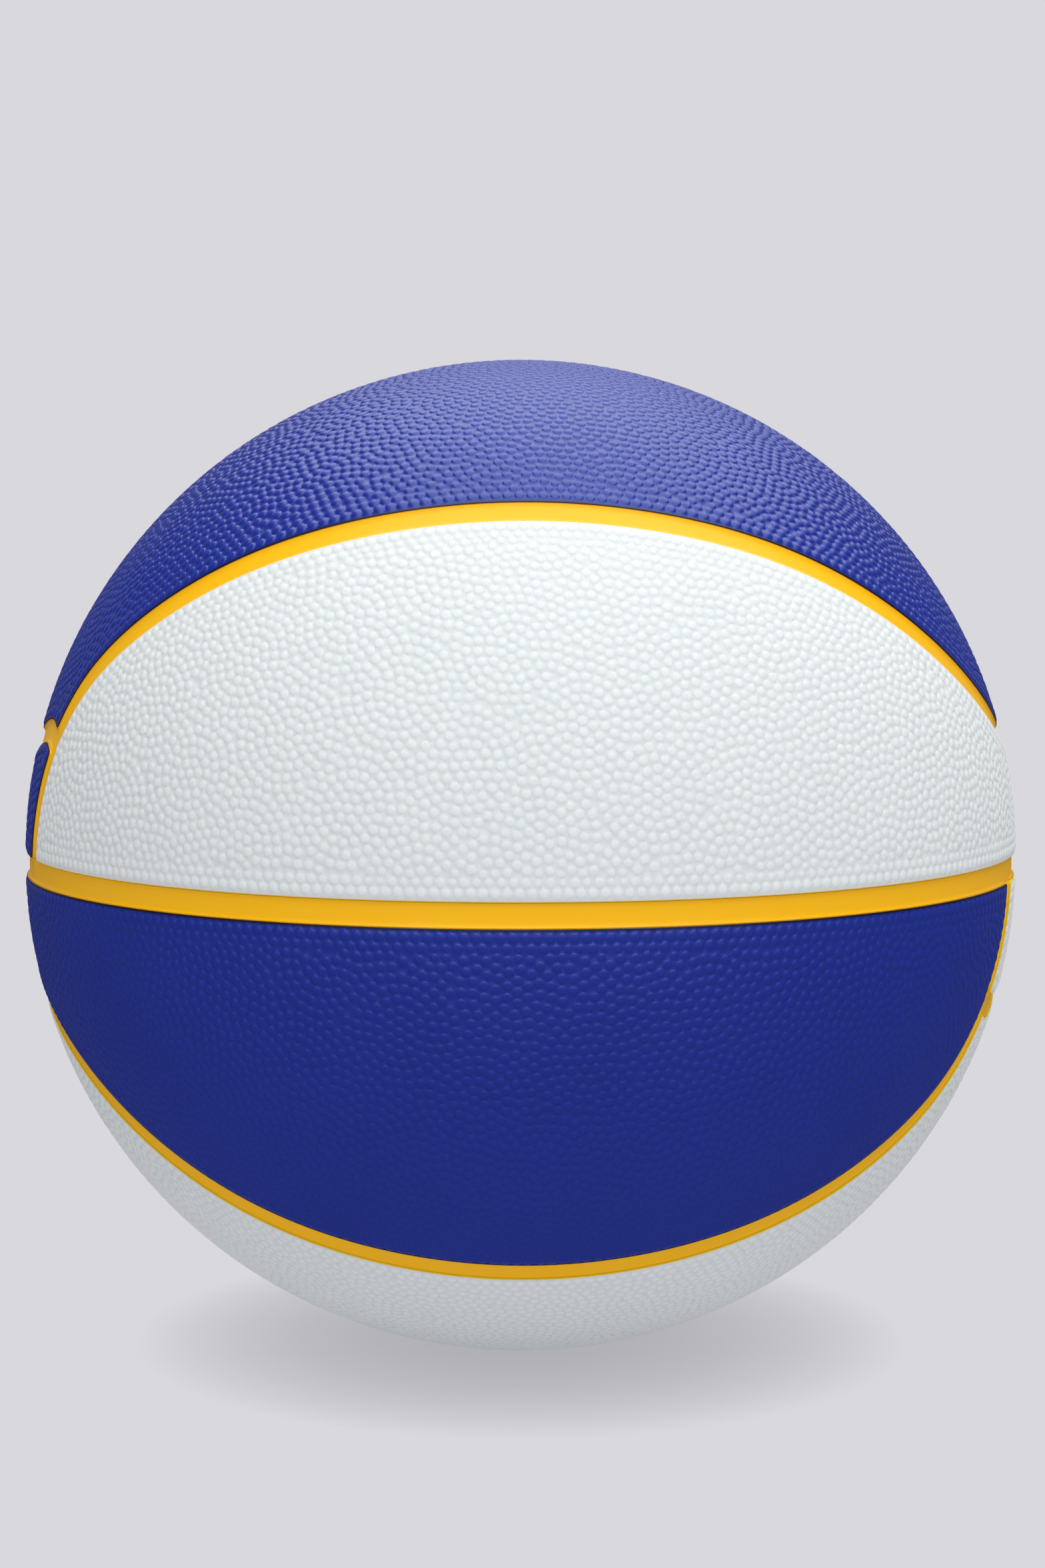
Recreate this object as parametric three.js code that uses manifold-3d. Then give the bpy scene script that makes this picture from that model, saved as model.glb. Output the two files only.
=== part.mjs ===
// A size 7 basketball: eight cover panels and nine seam strips on a carcass, a thread winding and a bladder.
// Millimetres, +Z up, origin at the middle of the ball. The middle seam lies level and the front faces -Y.
import * as THREE from "three";
import { mergeVertices } from "three/addons/utils/BufferGeometryUtils.js";
import Module from "manifold-3d";

const wasm = await Module();
wasm.setup();

// Layers, from the outside in
const BALL_DIAMETER = 240;
const PANEL_THICKNESS = 1.9;
const SEAM_THICKNESS = 0.8;
const CARCASS_THICKNESS = 1.2;
const WINDING_THICKNESS = 0.8;
const BLADDER_THICKNESS = 1.2;
const LAYER_GAP = 0.5;

// Channels between the panels, and the strips that lie in them
const CHANNEL_WIDTH = 5.5;
const SEAM_SIDE_GAP = 0.3;

// The seam loop round each cap, as a latitude in degrees that rises and falls with the longitude
const LOOP_MEAN_LATITUDE = 32.4;
const LOOP_SWING_DEGREES = 15.1;
const LOOP_SHOULDER_DEGREES = -3;
const LOOP_TIP_DEGREES = 0.45;

// Where an end seam joins the loop, in degrees from the front towards +X, and how the loop dips there
const JUNCTION_LONGITUDE = -70;
const JUNCTION_DIP_DEGREES = 5.5;
const JUNCTION_REACH_DEGREES = 4;
const JUNCTION_SOFTNESS_DEGREES = 0.8;
const JUNCTION_BENDS_DEGREES = [0, 0.5, 2.5, 4, 6, 8.5];

// How far an end seam leans from the loop down to the middle seam, in degrees of longitude
const END_LEAN_DEGREES = -3.2;

// Where the weight of the ball flattens it on the floor
const FOOT_FLAT_DEPTH = 0.5;

// Valve, on the back of the upper band
const VALVE_LATITUDE = 22;
const PLUG_LENGTH = 22;
const PLUG_STEM_RADIUS = 2.2;
const PLUG_HEAD_RADIUS = 3.2;
const PLUG_HEAD_THICKNESS = 1.2;
const PLUG_TIP_CHAMFER = 0.6;
const NEEDLE_HOLE_RADIUS = 0.6;
const NEEDLE_HOLE_DEPTH = 16;
const BOOT_WALL = 2;
const BOOT_TAIL = 3;
const BOOT_RECESS = 0.5;
const FLANGE_WIDTH = 6.5;
const FLANGE_DEPTH = 3;
const VALVE_GAP = 0.3;

// How finely curved faces are divided: a flat facet may cut this share of the gap between two layers
const FACET_SHARE = 0.35;
const SHELL_DETAIL = 5;
const ROUND_SIDES = 16;
const OFFSET_STEPS = 24;

// Radii of the layers
const ballRadius = BALL_DIAMETER / 2;
const panelInner = ballRadius - PANEL_THICKNESS;
const seamOuter = panelInner + SEAM_THICKNESS;
const carcassOuter = panelInner - LAYER_GAP;
const carcassInner = carcassOuter - CARCASS_THICKNESS;
const windingOuter = carcassInner - LAYER_GAP;
const windingInner = windingOuter - WINDING_THICKNESS;
const bladderOuter = windingInner - LAYER_GAP;
const bladderInner = bladderOuter - BLADDER_THICKNESS;

// Distances from a seam's middle line to the panels' edges and to the strip's own edges
const panelEdge = CHANNEL_WIDTH / 2;
const stripEdge = panelEdge - SEAM_SIDE_GAP;

const facetStep = 2 * Math.acos(1 - (FACET_SHARE * LAYER_GAP) / ballRadius);
const quarterTurn = Math.PI / 2;
const halfTurn = Math.PI;
const fullTurn = 2 * Math.PI;
const radians = THREE.MathUtils.degToRad;

// Directions and the loop

// The unit vector at a longitude from the front (-Y) towards +X and a latitude towards +Z.
function direction(longitude, latitude) {
  const level = Math.cos(latitude);
  return new THREE.Vector3(level * Math.sin(longitude), -level * Math.cos(longitude), Math.sin(latitude));
}

// How far the loop dips at a longitude, in degrees. The two junctions are half a turn apart.
function junctionDip(longitude) {
  const fromJunction = THREE.MathUtils.radToDeg(longitude) - JUNCTION_LONGITUDE;
  const nearest = THREE.MathUtils.euclideanModulo(fromJunction + 90, 180) - 90;
  const apart = Math.hypot(nearest, JUNCTION_SOFTNESS_DEGREES) - JUNCTION_SOFTNESS_DEGREES;
  return JUNCTION_DIP_DEGREES * Math.exp(-apart / JUNCTION_REACH_DEGREES);
}

// The latitude of the loop's middle line.
function loopLatitude(longitude) {
  const degrees =
    LOOP_MEAN_LATITUDE +
    LOOP_SWING_DEGREES * Math.cos(2 * longitude) +
    LOOP_SHOULDER_DEGREES * Math.cos(4 * longitude) +
    LOOP_TIP_DEGREES * Math.cos(6 * longitude);
  return radians(degrees - junctionDip(longitude));
}

// The latitude of a line that runs beside the loop, a distance above it, or below it where that is negative:
// as far as a disc of that radius reaches while its middle follows the loop.
function besideLoop(longitude, distance) {
  const side = Math.sign(distance);
  const reach = Math.abs(distance) / ballRadius;
  const level = Math.cos(loopLatitude(longitude));
  const heights = Array.from({ length: 2 * OFFSET_STEPS + 1 }, (_, step) => {
    const share = step / OFFSET_STEPS - 1;
    const middle = loopLatitude(longitude + (share * reach) / level);
    return side * middle + reach * Math.sqrt(1 - share * share);
  });
  return side * Math.max(...heights);
}

// The longitude, short of the side of the ball, where a line beside the divider meets a line beside the loop.
function dividerCorner(fromDivider, fromLoop) {
  let longitude = quarterTurn;
  for (let pass = 0; pass < 6; pass += 1) {
    const level = ballRadius * Math.cos(besideLoop(longitude, fromLoop));
    longitude = quarterTurn - Math.asin(fromDivider / level);
  }
  return longitude;
}

// The course of an end seam, as it leaves the loop
const junction = radians(JUNCTION_LONGITUDE);
const endTop = besideLoop(junction, -panelEdge);
const endFoot = panelEdge / ballRadius;
const endSlant = Math.atan(radians(END_LEAN_DEGREES) / endTop);

// The angle of longitude that takes a line this far to the side of an end seam.
function besideEnd(distance) {
  return distance / (ballRadius * Math.cos(endSlant));
}

// How far the end seam has leant over at a latitude below the loop.
function endLean(latitude) {
  const share = Math.min(latitude / endTop, 1);
  return radians(END_LEAN_DEGREES) * (1 - share * share);
}

// Longitudes along the loop that all the pieces beside it share: their corners, the bends at the junctions,
// and even steps between those.
const panelCorner = dividerCorner(panelEdge, panelEdge);
const seamCorner = dividerCorner(stripEdge, panelEdge);

function loopStations() {
  const corners = [];
  const beside = [besideEnd(panelEdge), besideEnd(stripEdge), ...JUNCTION_BENDS_DEGREES.map(radians)];
  for (const middle of [junction, junction + halfTurn]) {
    corners.push(...beside.map((apart) => middle + apart));
    corners.push(...beside.filter((apart) => apart > 0).map((apart) => middle - apart));
  }
  for (const corner of [panelCorner, seamCorner]) {
    corners.push(corner, -corner, halfTurn - corner, corner - halfTurn);
  }
  const turned = corners.map(
    (corner) => junction + THREE.MathUtils.euclideanModulo(corner - junction, fullTurn),
  );
  turned.sort((a, b) => a - b);
  turned.push(turned[0] + fullTurn);
  const stations = [];
  for (let i = 0; i + 1 < turned.length; i += 1) {
    stations.push(...evenSteps(turned[i], turned[i + 1]).slice(0, -1));
  }
  return stations;
}

// Numbers from one end to the other in even steps of at most a facet.
function evenSteps(from, to) {
  const count = Math.max(1, Math.ceil(Math.abs(to - from) / facetStep));
  return Array.from({ length: count + 1 }, (_, i) => THREE.MathUtils.lerp(from, to, i / count));
}

const stations = loopStations();

// The shared stations from one longitude to another, both included.
function stationsBetween(from, to) {
  const slack = facetStep / 1000;
  const wrapped = stations.flatMap((station) => [station - fullTurn, station, station + fullTurn]);
  const inside = wrapped.filter((station) => station > from - slack && station < to + slack);
  return inside.sort((a, b) => a - b);
}

// The point a share of the way along the great circle between two directions.
function between(from, to, share) {
  const angle = from.angleTo(to);
  if (angle === 0) return from.clone();
  const start = from.clone().multiplyScalar(Math.sin((1 - share) * angle));
  return start.addScaledVector(to, Math.sin(share * angle)).divideScalar(Math.sin(angle));
}

// Shell pieces

// A closed piece between two radii. Columns run eastwards and each holds directions from south to north;
// a column of one direction is a corner, and a ring's last column meets its first.
function shellPiece(columns, innerRadius, outerRadius, ring = false) {
  const positions = [];
  const starts = [];
  for (const column of columns) {
    starts.push(positions.length / 6);
    for (const way of column) {
      positions.push(...way.clone().multiplyScalar(outerRadius));
      positions.push(...way.clone().multiplyScalar(innerRadius));
    }
  }
  const outer = (i, j) => 2 * (starts[i] + Math.min(j, columns[i].length - 1));
  const inner = (i, j) => outer(i, j) + 1;
  const triangles = [];
  const addTriangle = (a, b, c) => {
    if (a !== b && b !== c && c !== a) triangles.push(a, b, c);
  };
  const addQuad = (a, b, c, d) => {
    addTriangle(a, b, c);
    addTriangle(a, c, d);
  };
  const rows = Math.max(...columns.map((column) => column.length)) - 1;
  const last = columns.length - 1;
  for (let i = 0; i < (ring ? columns.length : last); i += 1) {
    const next = (i + 1) % columns.length;
    for (let j = 0; j < rows; j += 1) {
      addQuad(outer(i, j), outer(next, j), outer(next, j + 1), outer(i, j + 1));
      addQuad(inner(i, j), inner(i, j + 1), inner(next, j + 1), inner(next, j));
    }
    addQuad(outer(next, 0), outer(i, 0), inner(i, 0), inner(next, 0));
    addQuad(outer(i, rows), outer(next, rows), inner(next, rows), inner(i, rows));
  }
  for (let j = 0; j < rows && !ring; j += 1) {
    addQuad(outer(0, j), outer(0, j + 1), inner(0, j + 1), inner(0, j));
    addQuad(outer(last, j + 1), outer(last, j), inner(last, j), inner(last, j + 1));
  }
  const geometry = new THREE.BufferGeometry();
  geometry.setAttribute("position", new THREE.Float32BufferAttribute(positions, 3));
  geometry.setIndex(triangles);
  return geometry;
}

// Columns of directions from the middle seam up to the loop, leaning with the end seams.
function bandColumns(from, to) {
  const rows = Math.ceil(besideLoop(0, -panelEdge) / facetStep);
  return stationsBetween(from, to).map((longitude) => {
    const head = besideLoop(longitude, -panelEdge);
    return Array.from({ length: rows + 1 }, (_, row) => {
      const latitude = THREE.MathUtils.lerp(endFoot, head, row / rows);
      return direction(longitude + endLean(latitude), latitude);
    });
  });
}

// A long panel of the upper band, from the middle seam up to the loop.
function stripPanel() {
  const side = besideEnd(panelEdge);
  return shellPiece(bandColumns(junction + side, junction + halfTurn - side), panelInner, ballRadius);
}

// A direction on the line beside the divider, at an angle from straight up towards +X.
function besideDivider(angle, distance) {
  const across = distance / ballRadius;
  const along = Math.sqrt(1 - across * across);
  return new THREE.Vector3(along * Math.sin(angle), across, along * Math.cos(angle));
}

// How far from straight up the divider's lines run before they meet the loop.
function dividerReach(corner, fromDivider) {
  const along = Math.sqrt(1 - (fromDivider / ballRadius) ** 2);
  return Math.acos(Math.sin(besideLoop(corner, panelEdge)) / along);
}

// The front half of the top cap, from the loop up to the divider.
function capPanel() {
  const reach = dividerReach(panelCorner, panelEdge);
  const longitudes = stationsBetween(-panelCorner, panelCorner);
  const rows = Math.ceil((quarterTurn - besideLoop(0, panelEdge)) / facetStep);
  const columns = longitudes.map((longitude, i) => {
    const low = direction(longitude, besideLoop(longitude, panelEdge));
    if (i === 0 || i === longitudes.length - 1) return [low];
    const angle = THREE.MathUtils.mapLinear(longitude, -panelCorner, panelCorner, -reach, reach);
    const high = besideDivider(angle, -panelEdge);
    return Array.from({ length: rows + 1 }, (_, row) => between(low, high, row / rows));
  });
  return shellPiece(columns, panelInner, ballRadius);
}

// The strip round the middle of the ball.
function middleSeam() {
  const edge = stripEdge / ballRadius;
  const columns = evenSteps(0, fullTurn)
    .slice(0, -1)
    .map((longitude) => [direction(longitude, -edge), direction(longitude, edge)]);
  return shellPiece(columns, panelInner, seamOuter, true);
}

// The strip round the top cap.
function loopSeam() {
  const columns = stations.map((longitude) => [
    direction(longitude, besideLoop(longitude, -stripEdge)),
    direction(longitude, besideLoop(longitude, stripEdge)),
  ]);
  return shellPiece(columns, panelInner, seamOuter, true);
}

// The strip over the top that divides the cap.
function dividerSeam() {
  const reach = dividerReach(seamCorner, stripEdge);
  const columns = evenSteps(-reach, reach).map((angle) => [
    besideDivider(angle, -stripEdge),
    besideDivider(angle, stripEdge),
  ]);
  return shellPiece(columns, panelInner, seamOuter);
}

// The short strip between the ends of two long panels, from the middle seam up to the loop.
function endSeam() {
  const side = besideEnd(stripEdge);
  return shellPiece(bandColumns(junction - side, junction + side), panelInner, seamOuter);
}

// Joins and cuts

// A closed geometry as a solid that can be cut.
function solid(geometry) {
  const bare = geometry.clone();
  bare.deleteAttribute("normal");
  bare.deleteAttribute("uv");
  const merged = mergeVertices(bare, 1e-3);
  const vertProperties = new Float32Array(merged.attributes.position.array);
  const triVerts = new Uint32Array(merged.index.array);
  return new wasm.Manifold(new wasm.Mesh({ numProp: 3, vertProperties, triVerts }));
}

// A cut solid as a geometry.
function geometryOf(cut) {
  const mesh = cut.getMesh();
  const geometry = new THREE.BufferGeometry();
  geometry.setAttribute("position", new THREE.Float32BufferAttribute(mesh.vertProperties, 3));
  geometry.setIndex(Array.from(mesh.triVerts));
  return geometry;
}

// A round solid on the valve's axis. The outline's points are a radius and a distance from the ball's middle.
function turned(outline) {
  const points = outline.map(([radius, height]) => new THREE.Vector2(radius, height));
  return new THREE.LatheGeometry(points, ROUND_SIDES).rotateX(radians(VALVE_LATITUDE));
}

// Valve sizes, along its axis and across it
const boreRadius = PLUG_STEM_RADIUS + VALVE_GAP;
const seatRadius = PLUG_HEAD_RADIUS + VALVE_GAP;
const bootRadius = seatRadius + BOOT_WALL;
const valveHoleRadius = bootRadius + VALVE_GAP;
const flangeRadius = bootRadius + FLANGE_WIDTH;
const bootTop = ballRadius - BOOT_RECESS;
const seatHeight = bootTop - PLUG_HEAD_THICKNESS - VALVE_GAP;
const plugTop = bootTop;
const plugBottom = plugTop - PLUG_LENGTH;
const bootBottom = plugBottom - BOOT_TAIL;

// The round hole that the valve comes out through, with its axis on the valve's.
function valveHole() {
  const low = bootBottom;
  const high = ballRadius + BOOT_TAIL;
  return turned([
    [0, low],
    [valveHoleRadius, low],
    [valveHoleRadius, high],
    [0, high],
  ]);
}

// A round layer of the ball with the valve's hole through it.
function layer(innerRadius, outerRadius) {
  const outside = solid(new THREE.IcosahedronGeometry(outerRadius, SHELL_DETAIL));
  const inside = solid(new THREE.IcosahedronGeometry(innerRadius, SHELL_DETAIL));
  return geometryOf(outside.subtract(inside).subtract(solid(valveHole())));
}

// The tube that holds the plug, and its flange under the bladder's wall.
function valveBoot() {
  const tube = turned([
    [boreRadius, bootBottom],
    [bootRadius, bootBottom],
    [bootRadius, bootTop],
    [seatRadius, bootTop],
    [seatRadius, seatHeight],
    [boreRadius, seatHeight],
    [boreRadius, bootBottom],
  ]);
  const flangeHole = (boreRadius + bootRadius) / 2;
  const flange = turned([
    [flangeHole, bladderInner - FLANGE_DEPTH],
    [flangeRadius, bladderInner - FLANGE_DEPTH],
    [flangeRadius, bladderOuter],
    [flangeHole, bladderOuter],
    [flangeHole, bladderInner - FLANGE_DEPTH],
  ]);
  const underBladder = solid(new THREE.IcosahedronGeometry(bladderInner - VALVE_GAP, SHELL_DETAIL));
  return geometryOf(solid(tube).add(solid(flange).intersect(underBladder)));
}

// The mushroom-shaped plug with its blind needle hole.
function valvePlug() {
  const headFoot = seatHeight + VALVE_GAP;
  const needleEnd = plugTop - NEEDLE_HOLE_DEPTH;
  return turned([
    [0, plugBottom],
    [PLUG_STEM_RADIUS - PLUG_TIP_CHAMFER, plugBottom],
    [PLUG_STEM_RADIUS, plugBottom + PLUG_TIP_CHAMFER],
    [PLUG_STEM_RADIUS, headFoot],
    [PLUG_HEAD_RADIUS, headFoot],
    [PLUG_HEAD_RADIUS, plugTop],
    [NEEDLE_HOLE_RADIUS, plugTop],
    [NEEDLE_HOLE_RADIUS, needleEnd],
    [0, needleEnd],
  ]);
}

// The flat that the floor presses into a cap, cut off a cap that stands upright.
function flattened(cap) {
  const across = 2 * ballRadius;
  const floor = new THREE.BoxGeometry(across, across, across);
  floor.translate(0, 0, ballRadius - FOOT_FLAT_DEPTH + across / 2);
  return geometryOf(solid(cap).subtract(solid(floor)));
}

// The valve's hole through a long panel that is built at the front and then turned to the back.
function pierced(strip) {
  return geometryOf(solid(strip).subtract(solid(valveHole().rotateZ(halfTurn))));
}

// Finishes
const finishes = {
  blueCover: { color: 0x27479a, roughness: 0.5, metalness: 0 },
  whiteCover: { color: 0xdfe2df, roughness: 0.5, metalness: 0 },
  goldSeam: { color: 0xe2a51f, roughness: 0.4, metalness: 0 },
  carcass: { color: 0x2b2b2d, roughness: 0.8, metalness: 0 },
  thread: { color: 0xd8d2c2, roughness: 0.9, metalness: 0 },
  butyl: { color: 0x1c1c1e, roughness: 0.6, metalness: 0 },
  valveRubber: { color: 0x222224, roughness: 0.55, metalness: 0 },
};

function piece(name, geometry, finish) {
  const material = new THREE.MeshStandardMaterial({ ...finish, flatShading: true });
  const mesh = new THREE.Mesh(geometry, material);
  mesh.name = name;
  return mesh;
}

// Assembly

// One half of the cover: a cap and a band of two long panels, with their seams, built above the middle seam.
function coverHalf(names, colours, strips, caps) {
  const half = new THREE.Group();
  half.add(piece(`seam_${names.band}_loop`, loopSeam(), finishes.goldSeam));
  half.add(piece(`seam_${names.cap}_divider`, dividerSeam(), finishes.goldSeam));
  names.sides.forEach((side, i) => {
    const turnedSide = new THREE.Group();
    turnedSide.rotation.z = i * halfTurn;
    turnedSide.add(piece(`panel_${names.band}_${side}`, strips[i], colours.strips[i]));
    turnedSide.add(piece(`panel_${names.cap}_${side}`, caps[i], colours.caps[i]));
    turnedSide.add(piece(`seam_${names.band}_${names.ends[i]}_end`, endSeam(), finishes.goldSeam));
    half.add(turnedSide);
  });
  return half;
}

const { blueCover, whiteCover } = finishes;

const upperHalf = coverHalf(
  { band: "upper", cap: "top", sides: ["front", "back"], ends: ["left", "right"] },
  { strips: [whiteCover, blueCover], caps: [blueCover, whiteCover] },
  [stripPanel(), pierced(stripPanel())],
  [capPanel(), capPanel()],
);

// The lower half is the upper one turned over about the X axis, so its front pieces become the back ones.
const lowerHalf = coverHalf(
  { band: "lower", cap: "bottom", sides: ["back", "front"], ends: ["left", "right"] },
  { strips: [whiteCover, blueCover], caps: [blueCover, whiteCover] },
  [stripPanel(), stripPanel()],
  [flattened(capPanel()), flattened(capPanel())],
);
lowerHalf.rotation.x = halfTurn;

const ball = new THREE.Group();
ball.add(upperHalf, lowerHalf);
ball.add(piece("seam_middle", middleSeam(), finishes.goldSeam));
ball.add(piece("carcass", layer(carcassInner, carcassOuter), finishes.carcass));
ball.add(piece("thread_winding", layer(windingInner, windingOuter), finishes.thread));
ball.add(piece("bladder", layer(bladderInner, bladderOuter), finishes.butyl));
ball.add(piece("valve_boot", valveBoot(), finishes.valveRubber));
ball.add(piece("valve_plug", valvePlug(), finishes.valveRubber));

export default ball;
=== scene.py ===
"""Looks of a size 7 basketball: pebbled cover panels, recessed seam strips, the valve and the layers inside.

Sizes are in millimetres, in the part's own frame (+Z up, front towards -Y), until a mesh is made in metres.
A way is a unit vector from the middle of the ball, and arrays of ways have one per row.
"""

import logging
import math
from abc import ABC, abstractmethod
from dataclasses import dataclass, field, replace
from enum import Enum

import bpy
import numpy as np
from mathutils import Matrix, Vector
from mathutils.geometry import delaunay_2d_cdt


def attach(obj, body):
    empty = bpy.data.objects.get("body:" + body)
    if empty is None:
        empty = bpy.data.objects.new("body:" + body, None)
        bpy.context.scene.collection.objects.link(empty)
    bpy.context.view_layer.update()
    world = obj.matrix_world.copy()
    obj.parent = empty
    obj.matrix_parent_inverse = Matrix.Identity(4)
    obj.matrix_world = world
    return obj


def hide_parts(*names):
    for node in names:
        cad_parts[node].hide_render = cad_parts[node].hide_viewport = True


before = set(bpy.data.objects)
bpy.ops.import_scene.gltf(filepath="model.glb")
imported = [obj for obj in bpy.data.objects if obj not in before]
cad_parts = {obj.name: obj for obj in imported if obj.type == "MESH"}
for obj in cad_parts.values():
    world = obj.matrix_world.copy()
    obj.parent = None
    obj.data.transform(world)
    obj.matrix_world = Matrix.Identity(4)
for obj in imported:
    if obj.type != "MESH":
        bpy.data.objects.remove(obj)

log = logging.getLogger("basketball")

MM = 0.001
PHOTO_WIDTH = 1568
PHOTO_HEIGHT = 2353
FULL_TURN = 2 * math.pi
UP = np.array([0.0, 0.0, 1.0])
NEARLY_UP = 0.9


# Small helpers


def linear(colour: str) -> tuple[float, float, float, float]:
    """Turns an sRGB colour into linear light.

    Args:
        colour: Hex value such as "#2d357e".

    Returns:
        Red, green, blue and a full alpha.
    """
    shares = [int(colour[i : i + 2], 16) / 255 for i in (1, 3, 5)]
    red, green, blue = (s / 12.92 if s <= 0.04045 else ((s + 0.055) / 1.055) ** 2.4 for s in shares)
    return red, green, blue, 1.0


def add_node(
    tree: bpy.types.NodeTree, kind: str, links: dict | None = None, settings: dict | None = None
) -> bpy.types.Node:
    """Adds a node with its settings, and its inputs linked or set.

    Args:
        tree: Node tree that takes the node.
        kind: Blender's name for the kind of node.
        links: Per input name or index, a socket to link from or a plain value.
        settings: Properties of the node itself.

    Returns:
        The new node.
    """
    node = tree.nodes.new(kind)
    for name, value in (settings or {}).items():
        setattr(node, name, value)
    for name, value in (links or {}).items():
        if isinstance(value, bpy.types.NodeSocket):
            tree.links.new(value, node.inputs[name])
        else:
            node.inputs[name].default_value = value
    return node


def unit(vectors: np.ndarray) -> np.ndarray:
    """Scales vectors to length one along their last axis."""
    return vectors / np.linalg.norm(vectors, axis=-1, keepdims=True)


def tangents(ways: np.ndarray) -> tuple[np.ndarray, np.ndarray]:
    """Finds two directions square to each way and to each other.

    Args:
        ways: The ways.

    Returns:
        The two sets of unit vectors, right-handed with the ways.
    """
    helper = np.where(np.abs(ways[:, 2:3]) < NEARLY_UP, [UP], [[1.0, 0.0, 0.0]])
    across = unit(np.cross(helper, ways))
    return across, np.cross(ways, across)


def round_spread(pitch: float, radius: float, centre: np.ndarray, reach: float) -> np.ndarray:
    """Spreads points evenly over a round patch of a sphere, in the spirals of a sunflower head.

    Args:
        pitch: Distance between neighbours.
        radius: Radius of the sphere.
        centre: Way to the middle of the patch.
        reach: Angle from the middle to the rim of the patch.

    Returns:
        The ways.
    """
    total = 4 * math.pi * radius**2 / (pitch**2 * math.sqrt(3) / 2)
    steps = np.arange(int(total * (1 - math.cos(reach)) / 2))
    height = 1 - 2 * (steps + 0.5) / total
    level = np.sqrt(1 - height**2)
    turn = steps * math.pi * (3 - math.sqrt(5))
    across, along = tangents(centre[None, :])
    return (
        height[:, None] * centre
        + (level * np.cos(turn))[:, None] * across
        + (level * np.sin(turn))[:, None] * along
    )


def banded(low: np.ndarray, high: np.ndarray) -> np.ndarray:
    """Joins rings of points to the rings above them.

    Args:
        low: Numbers of the points, as rings by places round them, anticlockwise seen from above.
        high: Numbers of the points above those. A ring that is one point has its number all round.

    Returns:
        Corner numbers of the triangles, without those that have no area.
    """
    low_next, high_next = np.roll(low, -1, axis=1), np.roll(high, -1, axis=1)
    lower = np.stack([low, low_next, high_next], axis=-1).reshape(-1, 3)
    upper = np.stack([low, high_next, high], axis=-1).reshape(-1, 3)
    triangles = np.vstack([lower, upper])
    return triangles[(triangles != np.roll(triangles, 1, axis=1)).all(axis=1)]


@dataclass
class MeshData:
    """Triangles of one piece, in millimetres, with a place on the bake map for each corner."""

    vertices: np.ndarray
    triangles: np.ndarray
    places: np.ndarray | None = None
    crown: np.ndarray | None = None
    normals: np.ndarray | None = None

    def turned(self, signs: tuple[int, int, int]) -> "MeshData":
        """Gives the same piece after a half turn about an axis, as a sign for each coordinate."""
        normals = None if self.normals is None else self.normals * np.array(signs)
        return replace(self, vertices=self.vertices * np.array(signs), normals=normals)

    def make(self, name: str) -> bpy.types.Object:
        """Makes the mesh object in metres, shaded smooth.

        Args:
            name: Name of the piece.

        Returns:
            The object, linked to the scene.
        """
        mesh = bpy.data.meshes.new(name)
        corners = self.triangles.ravel().astype(np.int32)
        mesh.vertices.add(len(self.vertices))
        mesh.vertices.foreach_set("co", (self.vertices * MM).astype(np.float32).ravel())
        mesh.loops.add(len(corners))
        mesh.loops.foreach_set("vertex_index", corners)
        mesh.polygons.add(len(self.triangles))
        mesh.polygons.foreach_set("loop_start", np.arange(0, len(corners), 3, dtype=np.int32))
        mesh.polygons.foreach_set("use_smooth", np.ones(len(self.triangles), dtype=bool))
        mesh.update(calc_edges=True)
        if self.places is not None:
            layer = mesh.uv_layers.new(name="OFBake")
            layer.data.foreach_set("uv", self.places.astype(np.float32).ravel())
        if self.crown is not None:
            attribute = mesh.attributes.new("crown", "FLOAT", "POINT")
            attribute.data.foreach_set("value", self.crown.astype(np.float32))
        mesh.validate()
        if self.normals is not None:
            mesh.normals_split_custom_set_from_vertices(self.normals.tolist())
        piece = bpy.data.objects.new(name, mesh)
        bpy.context.scene.collection.objects.link(piece)
        return piece


def dress(piece: bpy.types.Object, material: bpy.types.Material, body: str) -> None:
    """Gives a piece its finish, sets it on its body, and hides the CAD node of the same name.

    Args:
        piece: The dressed piece, named "<CAD node>_dressed".
        material: Its finish.
        body: CAD body that it rides on.
    """
    piece.data.materials.append(material)
    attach(piece, body)
    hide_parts(piece.name.removesuffix("_dressed"))
    log.info("%s: %d triangles on %s", piece.name, len(piece.data.polygons), body)


# Finishes

RGBA = {"data_type": "RGBA"}
RUBBER_IOR = 1.5
BLACK_RUBBER_IOR = 1.52
GOLD_LACQUER = "#ffc215"

# Values of a panel's "crown": 1 on the tops of the pebbles, 0 between them, and below 0 over the edge.
CROWN_FACE = 0.0
# From CROWN_RIM to CROWN_LINE_END the painted shade line over the rolled edge fades from full to none.
CROWN_LINE_END = -0.06
CROWN_RIM = -0.3
CROWN_ROLL = -0.35
CROWN_HOLE = -0.4
CROWN_WALL = -1.0
LACQUER_FADE = (-0.02, 0.01)

# Length of one wave of Blender's wave texture at a scale of 1.
WAVE_LENGTH = 0.314


@dataclass(frozen=True)
class Unevenness:
    """An uneven pattern: the size of its forms in millimetres, its finer layers and how strong they are."""

    size: float
    layers: float
    strength: float

    def links(self, place: bpy.types.NodeSocket) -> dict:
        """Gives the inputs of a noise node that draws the pattern at a place."""
        scale = 1 / (self.size * MM)
        return {"Vector": place, "Scale": scale, "Detail": self.layers, "Roughness": self.strength}


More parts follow.
